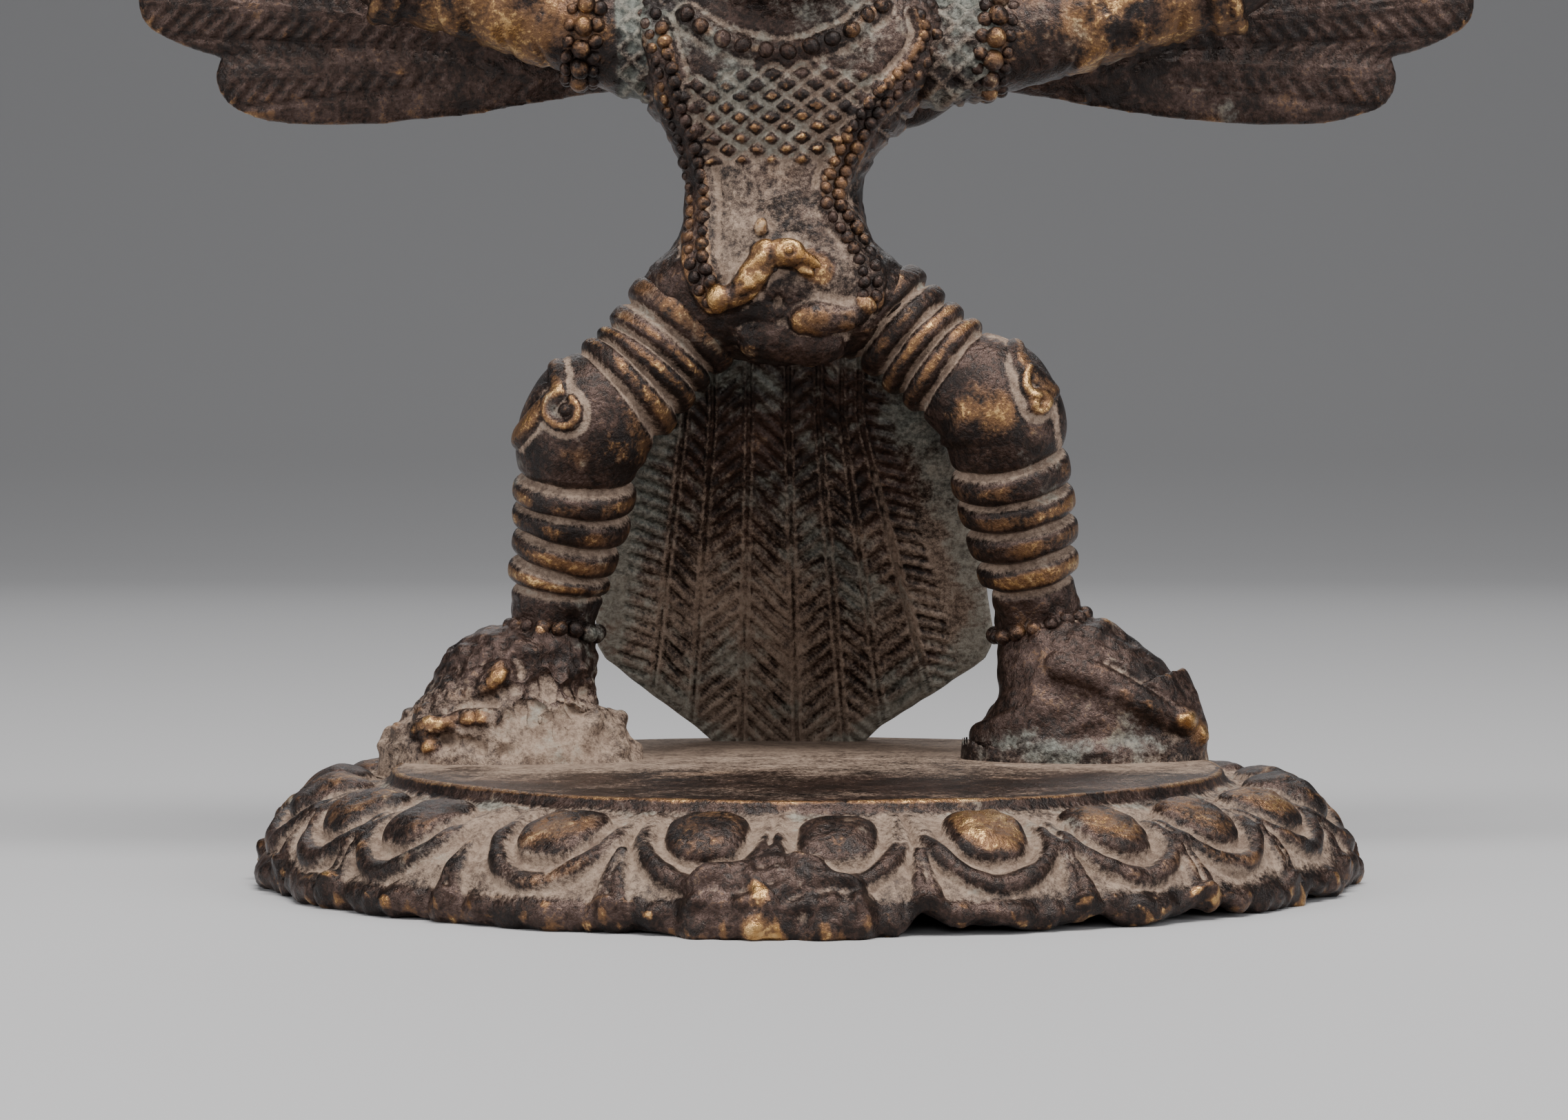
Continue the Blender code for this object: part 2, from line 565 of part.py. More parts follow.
def main():
    clear_scene()
    statue_parts = new_collection("Garuda statue")
    cutters = new_collection("Cutters")
    statue = base_solid(statue_parts)
    lump_place = Vector((-LUMP_OFFSET, -0.94 * RIM_RADIUS, 0.94 * LUMP_RADII[2]))
    lump = ball("casting_lump", lump_place, LUMP_RADII, statue_parts)
    statue = combine(statue, petals(statue_parts) + [lump], "UNION")
    figure = legs(statue_parts) + torso(statue_parts) + garland(statue_parts) + arms(statue_parts)
    figure += wings(statue_parts) + tail(statue_parts) + head(statue_parts)
    statue = combine(statue, figure, "UNION")
    statue = combine(statue, [base_cavity(cutters), ground_block(cutters)], "DIFFERENCE")
    statue.name = "garuda_statue"
    statue.data.name = "garuda_statue"
    statue.data.materials.clear()
    statue.data.materials.append(bronze())
    statue.data.shade_smooth()
    statue.data.set_sharp_from_angle(angle=math.radians(35))


main()
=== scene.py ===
# %% [markdown]
# # A small cast bronze Garuda
# This lesson models the looks of an old lost-wax bronze: a bird-man who stands astride on a lotus base.
# A caster first shapes the whole figure in wax, presses details into it, and casts it in one pour.
# We follow the same order: soft clay-like forms first, fused by a voxel remesh, then pressed-in relief.
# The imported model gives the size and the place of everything, so we load it before anything else.

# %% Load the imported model
import math

import bpy
import numpy as np
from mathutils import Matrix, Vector


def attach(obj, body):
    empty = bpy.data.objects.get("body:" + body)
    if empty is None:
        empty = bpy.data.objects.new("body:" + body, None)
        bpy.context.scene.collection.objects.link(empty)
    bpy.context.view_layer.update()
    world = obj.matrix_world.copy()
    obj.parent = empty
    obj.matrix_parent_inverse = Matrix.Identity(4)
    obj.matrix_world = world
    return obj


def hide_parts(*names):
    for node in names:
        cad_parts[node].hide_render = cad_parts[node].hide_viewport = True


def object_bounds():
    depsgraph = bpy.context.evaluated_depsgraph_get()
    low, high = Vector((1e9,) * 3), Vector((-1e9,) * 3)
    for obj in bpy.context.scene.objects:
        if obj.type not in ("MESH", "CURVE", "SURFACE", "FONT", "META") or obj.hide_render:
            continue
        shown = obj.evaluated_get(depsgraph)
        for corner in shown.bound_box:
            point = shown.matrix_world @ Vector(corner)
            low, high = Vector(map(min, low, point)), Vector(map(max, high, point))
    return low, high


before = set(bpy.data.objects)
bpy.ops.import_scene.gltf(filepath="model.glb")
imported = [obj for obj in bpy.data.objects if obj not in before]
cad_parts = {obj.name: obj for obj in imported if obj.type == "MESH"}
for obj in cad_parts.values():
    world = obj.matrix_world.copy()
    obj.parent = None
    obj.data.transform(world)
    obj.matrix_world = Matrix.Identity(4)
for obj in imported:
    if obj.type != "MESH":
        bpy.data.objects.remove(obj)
cad_low, cad_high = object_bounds()
CAST = "garuda_statue"
MM = 0.001
cad_box = [[round(v / MM, 1) for v in corner] for corner in (cad_low, cad_high)]
print("the casting fills, in millimetres:", cad_box)

# %% [markdown]
# ## Helpers to take hold of a mesh
# Operators act on whatever is selected, so every step starts by deselecting everything.
# Reading and writing all points of a mesh at once as an array makes sculpting by formula fast.
# All our sizes are written in millimetres, and the two helpers change them to and from metres.

# %% Selecting, reading and writing
def deselect():
    if bpy.context.object and bpy.context.object.mode != "OBJECT":
        bpy.ops.object.mode_set(mode="OBJECT")
    bpy.ops.object.select_all(action="DESELECT")


def pick(*pieces):
    deselect()
    for piece in pieces:
        piece.select_set(True)
    bpy.context.view_layer.objects.active = pieces[0]


def read_points(piece):
    co = np.empty(len(piece.data.vertices) * 3, np.float32)
    piece.data.vertices.foreach_get("co", co)
    return co.reshape(-1, 3).astype(float) / MM


def write_points(piece, co):
    piece.data.vertices.foreach_set("co", (co * MM).astype(np.float32).ravel())
    piece.data.update()


def read_normals(piece):
    no = np.empty(len(piece.data.vertices) * 3, np.float32)
    piece.data.vertex_normals.foreach_get("vector", no)
    return no.reshape(-1, 3).astype(float)


def face_out(piece):
    """Turn every face of a closed shape outwards."""
    pick(piece)
    bpy.ops.object.mode_set(mode="EDIT")
    bpy.ops.mesh.select_all(action="SELECT")
    bpy.ops.mesh.normals_make_consistent(inside=False)
    bpy.ops.object.mode_set(mode="OBJECT")


def ease(low, high, value):
    """0 below low, 1 above high, and a smooth step between."""
    t = np.clip((value - low) / (high - low), 0.0, 1.0)
    return t * t * (3.0 - 2.0 * t)

# %% [markdown]
# ## Clay
# A sculptor rolls clay between the hands and bends it. Our roll is a UV sphere: its rings run from pole to
# pole, so each ring can be moved along a path and given a width. The poles close the ends.
# A smooth curve through a few stations gives the path, and the front of each ring faces the viewer.

# %% A smooth curve through stations
def smooth_run(stations, count):
    """Even steps along a smooth curve through stations; the first three columns are the place."""
    s = np.asarray(stations, float)
    if len(s) == 2:
        s = np.vstack([s[0], 0.5 * (s[0] + s[1]), s[1]])
    p = np.vstack([2 * s[0] - s[1], s, 2 * s[-1] - s[-2]])
    rows = []
    for i in range(len(s) - 1):
        a, b, c, d = p[i:i + 4]
        t = np.linspace(0, 1, 24, endpoint=False)[:, None]
        rows.append(0.5 * (2 * b + (c - a) * t + (2 * a - 5 * b + 4 * c - d) * t ** 2
                           + (3 * b - a - 3 * c + d) * t ** 3))
    dense = np.vstack(rows + [s[-1:]])
    walked = np.concatenate([[0], np.cumsum(np.linalg.norm(np.diff(dense[:, :3], axis=0), axis=1))])
    steps = np.linspace(0, walked[-1], count)
    return np.column_stack([np.interp(steps, walked, column) for column in dense.T]), walked[-1]

# %% A roll of clay along a path
def roll(name, stations, sides=32, rings=60, flat=1.0, relief=None, front=(0.0, -1.0, 0.0)):
    """A closed roll along stations of (x, y, z, radius). Angle 0 of each ring faces the front.

    A fifth number in each station, if there is one, is how deep the roll is as a share of its width.
    """
    deselect()
    bpy.ops.mesh.primitive_uv_sphere_add(segments=sides, ring_count=rings, radius=1.0)
    piece = bpy.context.object
    piece.name = name
    unit = read_points(piece) * MM
    ring = np.rint(np.arccos(np.clip(unit[:, 2], -1, 1)) / math.pi * rings).astype(int)
    angle = np.arctan2(unit[:, 1], unit[:, 0])
    path, length = smooth_run(stations, rings + 1)
    tangent = np.gradient(path[:, :3], axis=0)
    tangent /= np.linalg.norm(tangent, axis=1)[:, None]
    ahead = np.array(front) - (tangent @ np.array(front))[:, None] * tangent
    ahead /= np.linalg.norm(ahead, axis=1)[:, None]
    aside = np.cross(tangent, ahead)
    along = np.linspace(0, length, rings + 1)
    radius = path[:, 3]
    for end in (along / radius[0], (length - along) / radius[-1]):
        radius = radius * np.sqrt(np.clip(1 - (1 - np.minimum(end, 1)) ** 2, 0, 1))
    swell = relief(along[ring], angle) if relief else 0.0
    inside = np.minimum(radius, 1.0)[ring]
    r = radius[ring] + swell * inside
    if path.shape[1] > 4:
        flat = path[ring, 4]
    co = (path[ring, :3] + ahead[ring] * (flat * r * np.cos(angle))[:, None]
          + aside[ring] * (r * np.sin(angle))[:, None])
    write_points(piece, co)
    return piece

# %% A pebble of clay
def pebble(name, centre, radii, turn=0.0, sides=24, rings=16):
    """An egg of clay with its own half widths, turned about the viewing axis."""
    deselect()
    bpy.ops.mesh.primitive_uv_sphere_add(segments=sides, ring_count=rings, radius=1.0)
    piece = bpy.context.object
    piece.name = name
    co = read_points(piece) * MM * np.array(radii)
    c, s = math.cos(turn), math.sin(turn)
    co = np.column_stack([c * co[:, 0] - s * co[:, 2], co[:, 1], s * co[:, 0] + c * co[:, 2]])
    write_points(piece, co + np.array(centre))
    return piece

# %% [markdown]
# ## Fusing clay
# Rolls that are pushed together must become one skin. A voxel remesh measures the outside of them all
# and wraps it in an even net of small squares. Two rounds of smoothing then soften the joins, the way
# wax flows a little at every joint.

# %% Fuse rolls into one skin
def edges_of(piece):
    ends = np.empty(len(piece.data.edges) * 2, np.int32)
    piece.data.edges.foreach_get("vertices", ends)
    return ends.reshape(-1, 2)


def relax(values, ends, rounds, strength=0.5):
    """Move each value towards the mean of its neighbours, again and again."""
    count = len(values)
    shared = np.bincount(ends.ravel(), minlength=count).astype(float)
    shared[shared == 0] = 1.0
    table = values.reshape(count, -1).copy()
    for _ in range(rounds):
        for column in range(table.shape[1]):
            v = table[:, column]
            total = (np.bincount(ends[:, 0], weights=v[ends[:, 1]], minlength=count)
                     + np.bincount(ends[:, 1], weights=v[ends[:, 0]], minlength=count))
            table[:, column] = v + strength * (total / shared - v)
    return table.reshape(values.shape)


def fuse(name, pieces, voxel, soften=2):
    """Join the pieces, wrap them in one skin of squares that wide, and soften the joins."""
    pick(*pieces)
    bpy.ops.object.join()
    piece = bpy.context.object
    piece.name = name
    piece.data.name = name
    remesh = piece.modifiers.new("Skin", "REMESH")
    remesh.mode = "VOXEL"
    remesh.voxel_size = voxel * MM
    bpy.ops.object.modifier_apply(modifier=remesh.name)
    if soften:
        write_points(piece, relax(read_points(piece), edges_of(piece), soften))
    print(name, "has", 2 * len(piece.data.polygons), "triangles at most")
    return piece

# %% [markdown]
# ## Pressed-in detail
# Beads, lines, scales and barbs are pressed into the wax with small tools. In code, a tool is a formula:
# it gives each point of the skin a height, and the point moves that far along its own normal.
# Most tools follow a line drawn in the front view, so we need the distance from a point to such a line.

# %% Tools that follow a line in the front view
def draw_line(points, steps=60):
    """A smooth line in the front view, from (x, z) points."""
    flat = [(x, 0.0, z) for x, z in points]
    run, _ = smooth_run(flat, steps)
    return run[:, [0, 2]]


def off_line(co, line):
    """How far each point is from the line in the front view."""
    p = co[:, [0, 2]]
    best = np.full(len(co), 1e9)
    for a, b in zip(line[:-1], line[1:]):
        d = b - a
        size = float(np.hypot(*d)) or 1e-9
        t = np.clip(((p - a) @ d) / size ** 2, 0, 1)
        best = np.minimum(best, np.hypot(p[:, 0] - a[0] - t * d[0], p[:, 1] - a[1] - t * d[1]))
    return best


def fade(distance, half):
    """A soft hill of height 1 that has mostly faded at that half width."""
    return np.exp(-((distance / half) ** 2))


def bulge(distance, half):
    """A round ridge of height 1 and that half width."""
    return np.sqrt(np.clip(1 - (distance / half) ** 2, 0, 1))


def ripple(co, size, seed):
    """Slow, smooth, random hills between about -1 and 1, each about that size across."""
    rng = np.random.default_rng(seed)
    total = np.zeros(len(co))
    for _ in range(14):
        turn = rng.normal(size=3)
        turn *= rng.uniform(0.6, 1.5) * math.pi / (size * np.linalg.norm(turn))
        total += np.sin(co @ turn + rng.uniform(0, 2 * math.pi))
    return total / 5.3


def press(piece, height, normals=None):
    """Move every point along its normal by its height in millimetres."""
    co = read_points(piece)
    no = read_normals(piece) if normals is None else normals
    write_points(piece, co + no * height[:, None])

# %% [markdown]
# ## Where the finish is worn, dusty or green
# Fingers and cloths polish what sticks out, dust settles in hollows and on ledges, and green verdigris
# grows where it stays damp. All three follow the shape, so we measure the shape: a point that lies
# above the mean of its neighbourhood is a ridge, and one below it is a hollow. The results are kept
# as attributes that the material reads. On the tail, the dust mark also carries painted light and shade.

# %% Measure ridges and hollows
PAINT = {}


def set_mark(piece, name, values):
    mark = piece.data.attributes.get(name) or piece.data.attributes.new(name, "FLOAT", "POINT")
    mark.data.foreach_set("value", np.clip(values, 0, 1).astype(np.float32))


def weather(piece, reach, dust_and_light_cover, wear, green, paint):
    """Write how worn, dusty and green each point is, and the light and shade painted into the dust mark: from
    its shape, three shifts and painted fields.
    """
    co = read_points(piece)
    no = read_normals(piece)
    ends = edges_of(piece)
    step = np.linalg.norm(co[ends[:, 0]] - co[ends[:, 1]], axis=1).mean()
    rounds = int(np.clip((reach / step) ** 2 * 1.5, 4, 60))
    blurred = relax(co, ends, rounds, 0.7)
    proud = ((co - blurred) * no).sum(axis=1)
    proud = relax(proud, ends, 2)
    spread = np.percentile(np.abs(proud), 85) + 1e-6
    proud = np.clip(proud / spread, -3, 3)
    low_hills = ripple(co, 9.0, 11)
    small_hills = ripple(co, 3.0, 12)
    hollow = ease(0.3, 1.6, -proud + 0.25 * small_hills)
    ledge = ease(0.35, 1.0, no[:, 2]) * ease(-0.4, 0.8, -proud + 0.3 * small_hills)
    dust_and_light = 0.55 * hollow + 0.30 * ledge + 0.10 * low_hills + dust_and_light_cover
    worn = 0.50 * ease(0.4, 2.2, proud) + 0.14 * small_hills + 0.12 * low_hills + wear
    damp = 0.22 + 0.20 * ripple(co, 6.0, 13) + 0.12 * hollow + green
    set_mark(piece, "dust_and_light", dust_and_light + paint.get("dust_and_light", 0.0))
    set_mark(piece, "worn", worn + paint.get("worn", 0.0))
    set_mark(piece, "damp", damp + paint.get("damp", 0.0))

# %% [markdown]
# ## Aged bronze
# The finish has four layers. At the bottom is metal under a dark brown patina, with purple and red
# patches. Where it is worn, bare gold-brown bronze shows. Tan dust fills hollows, and grey-green verdigris
# lies over some of it. On the tail the tan layer also carries painted light on the plate and its barbs, and
# painted shade in its grooves. Each layer has a mask made from the mark on the surface and from noise, so
# that its edge is broken up the way a real one is. Noise reads Object coordinates, scaled to millimetres.

# %% Nodes that add up and blend
def noise_at(nodes, links, place, size, detail, rough=0.6):
    """Noise whose largest grains are about that many millimetres."""
    grain = nodes.new("ShaderNodeTexNoise")
    grain.inputs["Scale"].default_value = 1.0 / size
    grain.inputs["Detail"].default_value = detail
    grain.inputs["Roughness"].default_value = rough
    links.new(place, grain.inputs["Vector"])
    return grain.outputs["Fac"]


def sum_of(nodes, links, parts):
    """Add (socket, weight) pairs and a last plain number."""
    total = None
    for socket, weight in parts[:-1]:
        term = nodes.new("ShaderNodeMath")
        term.operation = "MULTIPLY_ADD"
        links.new(socket, term.inputs[0])
        term.inputs[1].default_value = weight
        if total is None:
            term.inputs[2].default_value = parts[-1]
        else:
            links.new(total, term.inputs[2])
        total = term.outputs[0]
    return total


def mask_between(nodes, links, socket, low, high):
    step = nodes.new("ShaderNodeMapRange")
    step.interpolation_type = "SMOOTHSTEP"
    step.inputs["From Min"].default_value = low
    step.inputs["From Max"].default_value = high
    links.new(socket, step.inputs["Value"])
    return step.outputs["Result"]


def blend_colour(nodes, links, mask, under, over):
    mix = nodes.new("ShaderNodeMix")
    mix.data_type = "RGBA"
    links.new(mask, mix.inputs["Factor"])
    for socket, value in ((mix.inputs["A"], under), (mix.inputs["B"], over)):
        if isinstance(value, tuple):
            socket.default_value = (*value, 1.0)
        else:
            links.new(value, socket)
    return mix.outputs["Result"]


def blend_number(nodes, links, mask, under, over):
    mix = nodes.new("ShaderNodeMix")
    mix.data_type = "FLOAT"
    links.new(mask, mix.inputs["Factor"])
    for socket, value in ((mix.inputs["A"], under), (mix.inputs["B"], over)):
        if isinstance(value, float):
            socket.default_value = value
        else:
            links.new(value, socket)
    return mix.outputs["Result"]

# %% [markdown]
# Every mask decides three things in turn: the colour, how metallic the surface is and how rough. The order
# is that of the real layers: patina, red-brown wear, bare bronze, dust, and verdigris on top. The dust layer
# also lays painted light and shade on the tail.

# %% Mix the bronze finish
def aged_bronze(name):
    finish = bpy.data.materials.new(name)
    finish.use_nodes = True
    nodes = finish.node_tree.nodes
    links = finish.node_tree.links
    skin = nodes["Principled BSDF"]
    spot = nodes.new("ShaderNodeTexCoord").outputs["Object"]
    scale = nodes.new("ShaderNodeMapping")
    scale.inputs["Scale"].default_value = (1 / MM, 1 / MM, 1 / MM)
    links.new(spot, scale.inputs["Vector"])
    place = scale.outputs["Vector"]
    broad = noise_at(nodes, links, place, 7.0, 3.0)
    patch = noise_at(nodes, links, place, 2.2, 5.0, 0.62)
    fleck = noise_at(nodes, links, place, 0.55, 4.0, 0.65)
    grit = noise_at(nodes, links, place, 0.16, 2.0)
    marks = {}
    for mark in ("worn", "dust_and_light", "damp"):
        node = nodes.new("ShaderNodeAttribute")
        node.attribute_name = mark
        marks[mark] = node.outputs["Fac"]

    shade = sum_of(nodes, links, [(broad, 0.8), (patch, 0.8), (fleck, 0.6), -0.60])
    tone = nodes.new("ShaderNodeValToRGB")
    ramp = tone.color_ramp
    ramp.elements[0].position = 0.30
    ramp.elements[0].color = (0.012, 0.008, 0.007, 1)
    ramp.elements[1].position = 0.78
    ramp.elements[1].color = (0.12, 0.068, 0.042, 1)
    for position, colour in ((0.44, (0.022, 0.013, 0.010, 1)), (0.56, (0.046, 0.025, 0.018, 1)),
                             (0.66, (0.064, 0.040, 0.034, 1))):
        ramp.elements.new(position).color = colour
    links.new(shade, tone.inputs["Fac"])

    def layer(mark, grains, low, high):
        """Where a layer lies: its mark on the surface, broken up by noise."""
        return mask_between(nodes, links, sum_of(nodes, links, [(marks[mark], 1.0), *grains]), low, high)

    bare = layer("worn", [(patch, 0.8), (fleck, 1.3), -1.10], 0.42, 0.72)
    rust = layer("worn", [(broad, 0.6), (patch, 0.8), (fleck, 0.4), -0.90], 0.16, 0.52)
    # The dust mask also lays painted light and shade on the tail.
    dust_and_light_cover = layer("dust_and_light", [(broad, 0.25), (patch, 0.5), (fleck, 0.7), (grit, 0.5), -1.06], 0.22, 0.82)
    green = layer("damp", [(patch, 1.3), (broad, 0.5), -0.90], 0.40, 0.75)

    metal = blend_colour(nodes, links, rust, tone.outputs["Color"], (0.160, 0.080, 0.036))
    gold = blend_colour(nodes, links, mask_between(nodes, links, patch, 0.38, 0.62),
                        (0.33, 0.172, 0.060), (0.53, 0.33, 0.145))
    metal = blend_colour(nodes, links, bare, metal, gold)
    # Tan dust colour, which on the tail is also the colour of the painted light.
    dust_and_light_tone = blend_colour(nodes, links, mask_between(nodes, links, sum_of(
        nodes, links, [(patch, 0.6), (fleck, 0.4), (grit, 0.3), -0.15]), 0.32, 0.68),
                             (0.120, 0.078, 0.056), (0.290, 0.212, 0.158))
    colour = blend_colour(nodes, links, dust_and_light_cover, metal, dust_and_light_tone)
    green_tone = blend_colour(nodes, links, mask_between(nodes, links, fleck, 0.35, 0.65),
                              (0.085, 0.100, 0.086), (0.21, 0.245, 0.215))
    veil = nodes.new("ShaderNodeMath")
    veil.operation = "MULTIPLY"
    links.new(green, veil.inputs[0])
    veil.inputs[1].default_value = 0.5
    colour = blend_colour(nodes, links, veil.outputs[0], colour, green_tone)
    links.new(colour, skin.inputs["Base Color"])

    sheen_of_metal = blend_number(nodes, links, bare, 0.62, 0.97)
    metallic = blend_number(nodes, links, dust_and_light_cover, sheen_of_metal, 0.0)
    metallic = blend_number(nodes, links, veil.outputs[0], metallic, 0.0)
    links.new(metallic, skin.inputs["Metallic"])
    gloss = blend_number(nodes, links, mask_between(nodes, links, fleck, 0.3, 0.7), 0.26, 0.46)
    gloss = blend_number(nodes, links, bare, gloss, 0.27)
    gloss = blend_number(nodes, links, dust_and_light_cover, gloss, 0.88)
    gloss = blend_number(nodes, links, veil.outputs[0], gloss, 0.8)
    links.new(gloss, skin.inputs["Roughness"])

    relief = sum_of(nodes, links, [(patch, 0.5), (fleck, 0.5), (grit, 0.16), 0.0])
    bump = nodes.new("ShaderNodeBump")
    bump.inputs["Strength"].default_value = 0.65
    bump.inputs["Distance"].default_value = 0.45 * MM
    links.new(relief, bump.inputs["Height"])
    links.new(bump.outputs["Normal"], skin.inputs["Normal"])
    return finish


BRONZE = aged_bronze("aged_bronze")
print("the finish has", len(BRONZE.node_tree.nodes), "nodes")

# %% Hand a finished piece over
def hand_over(piece):
    """Smooth the shading, give the finish, and tie the piece to the casting."""
    pick(piece)
    bpy.ops.object.shade_smooth()
    piece.data.materials.clear()
    piece.data.materials.append(BRONZE)
    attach(piece, "root")
    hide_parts(CAST)

# %% [markdown]
# ## The lotus base
# The base is hollow and turned in form: a flat platform, a short neck and a sloping skirt with a rolled rim.
# We draw half of its section as a chain of points and spin it around the upright axis.
# Its petals are then pressed outwards by a formula that knows, for each point, how far it is from the
# middle of the nearest petal and how far down the skirt it lies.

# %% Draw the section of the base
def dense_chain(points, pitch):
    """The same broken line with points at most that far apart."""
    out = [points[0]]
    for (r0, z0), (r1, z1) in zip(points[:-1], points[1:]):
        count = max(1, math.ceil(math.hypot(r1 - r0, z1 - z0) / pitch))
        out += [(r0 + (r1 - r0) * i / count, z0 + (z1 - z0) * i / count) for i in range(1, count + 1)]
    return out


TOP = 12.0
platform = [(0.0, TOP), (14.0, TOP), (27.0, TOP)] + dense_chain([(32.0, TOP), (44.0, TOP)], 1.2)
platform += [(44.6, 11.95), (44.95, 11.78), (45.1, 11.5), (45.2, 11.2), (45.35, 10.95)]
skirt = draw_line([(45.6, 10.7), (46.4, 10.25), (48.5, 9.6), (51.5, 8.7), (54.3, 7.3), (56.4, 5.4),
                   (58.0, 3.3), (58.9, 1.7)], 62).tolist()
rim = [(59.05, 1.25), (59.0, 0.85), (58.85, 0.5), (58.6, 0.22), (58.2, 0.05), (57.7, 0.0), (57.1, 0.0)]
inside = dense_chain([(56.5, 0.4), (55.6, 2.4), (54.0, 4.3), (51.8, 5.7), (49.0, 6.6), (46.0, 7.2),
                      (43.4, 8.3), (41.8, 9.0)], 1.1)
ceiling = [(36.0, 9.0), (24.0, 9.0), (12.0, 9.0), (0.0, 9.0)]
section = np.array(platform + skirt + rim + inside + ceiling)
first, last = len(platform), len(platform) + len(skirt) + len(rim) - 1
steps = np.hypot(*np.diff(section, axis=0).T)
down_at = np.concatenate([[0], np.cumsum(steps)])
down_at -= down_at[first]
skirt_length = down_at[first + len(skirt) - 1]
print("the section has", len(section), "points, and the skirt is", round(float(skirt_length), 1), "mm long")

# %% Spin it into a shell
deselect()
bpy.ops.mesh.primitive_circle_add(vertices=len(section), fill_type="NOTHING")
base = bpy.context.object
base.name = base.data.name = "lotus_base"
write_points(base, np.column_stack([section[:, 0], 0 * section[:, 0], section[:, 1]]))
closing = {0, len(section) - 1}
for vertex in base.data.vertices:
    vertex.select = vertex.index in closing
for edge in base.data.edges:
    edge.select = set(edge.vertices) == closing
bpy.ops.object.mode_set(mode="EDIT")
bpy.ops.mesh.select_mode(type="EDGE")
bpy.ops.mesh.delete(type="EDGE")
bpy.ops.mesh.select_mode(type="VERT")
bpy.ops.mesh.select_all(action="SELECT")
TURN_STEPS = 840
bpy.ops.mesh.spin(steps=TURN_STEPS, angle=2 * math.pi, center=(0, 0, 0), axis=(0, 0, 1))
bpy.ops.mesh.select_all(action="SELECT")
bpy.ops.mesh.remove_doubles(threshold=0.00002)
bpy.ops.mesh.normals_make_consistent(inside=False)
bpy.ops.object.mode_set(mode="OBJECT")
print("the spun base has", len(base.data.vertices), "points and", len(base.data.polygons), "faces")

# %% [markdown]
# Each petal has a raised oval boss, a smooth groove around it and a broad rounded border shaped like a U.
# A pointed back leaf shows between two petals. Nothing is quite even, because a hand cut each one in wax.
# At the front, the rim of the old casting carries a rough lump that covers the feet of two petals.
# Before the petals are pressed, the points are gathered towards the front, where they are seen best.

# %% Find each point's place on the skirt
co = read_points(base)
normals = read_normals(base)
around = np.arctan2(co[:, 0], -co[:, 1])
radius = np.hypot(co[:, 0], co[:, 1])
height = co[:, 2].copy()
facing_out = normals[:, 0] * np.sin(around) - normals[:, 1] * np.cos(around)
facing_up = normals[:, 2]
around = around - 0.38 * np.sin(around)
flat_place = np.column_stack([radius * np.sin(around), -radius * np.cos(around), height])
row = np.array([np.abs(section[:, 0] - r + 1j * (section[:, 1] - z)).argmin()
                for r, z in zip(radius, height)])
down = down_at[row]
on_skirt = ease(first - 1, first + 2, row) * (1 - ease(last - 3, last, row))
front_petals = [-62.2, -48.0, -27.9, -11.2, 2.9, 19.4, 34.5, 49.1, 64.9]
BACK_PETALS = 14
gap = (360 + front_petals[0] - front_petals[-1]) / (BACK_PETALS + 1)
petal_turns = np.radians(front_petals + [front_petals[-1] + gap * (i + 1) for i in range(BACK_PETALS)])
offsets = (around[:, None] - petal_turns[None, :] + math.pi) % (2 * math.pi) - math.pi
nearest = np.abs(offsets).argmin(axis=1)
aside = radius * offsets[np.arange(len(co)), nearest]
gap_turns = 0.5 * (np.sort(petal_turns) + np.roll(np.sort(petal_turns), -1))
gap_turns[-1] += math.pi
gap_offsets = (around[:, None] - gap_turns[None, :] + math.pi) % (2 * math.pi) - math.pi
from_gap = radius * np.abs(gap_offsets).min(axis=1)
degrees = np.degrees(around)

# %% Press the petals
rng = np.random.default_rng(5)
petal_size = rng.uniform(0.93, 1.06, len(petal_turns))
petal_tilt = rng.uniform(-0.06, 0.06, len(petal_turns))
petal_rise = rng.uniform(0.85, 1.1, len(petal_turns))
BOSS_DOWN, BOSS_HALF_WIDE, BOSS_HALF_LONG = 6.4, 4.1, 4.7
BORDER_OUT, BORDER_HALF = 6.25, 1.25
a = aside + petal_tilt[nearest] * (down - BOSS_DOWN) + 0.22 * ripple(flat_place, 5.0, 21)
b = (down - BOSS_DOWN) / petal_size[nearest]
boss_edge = (np.abs(a) / BOSS_HALF_WIDE) ** 2.7 + (np.abs(b) / BOSS_HALF_LONG) ** 2.7
boss = 1.9 * petal_rise[nearest] * np.clip(1 - boss_edge, 0, 1) ** 0.42
spine_end = 0.9
from_spine = np.where(b < spine_end, np.abs(a), np.hypot(a, b - spine_end))
border_rise = 0.55 + 0.65 * ease(-3, 6, b)
border = border_rise * np.exp(-np.abs((from_spine - BORDER_OUT) / BORDER_HALF) ** 2.6)
groove = -0.25 * fade(from_spine - 4.6, 0.55)
rill = -0.35 * fade(from_spine - 7.55, 0.30) * ease(3.0, 6.0, down)
print("the highest boss stands out", round(float(boss.max()), 2), "mm")

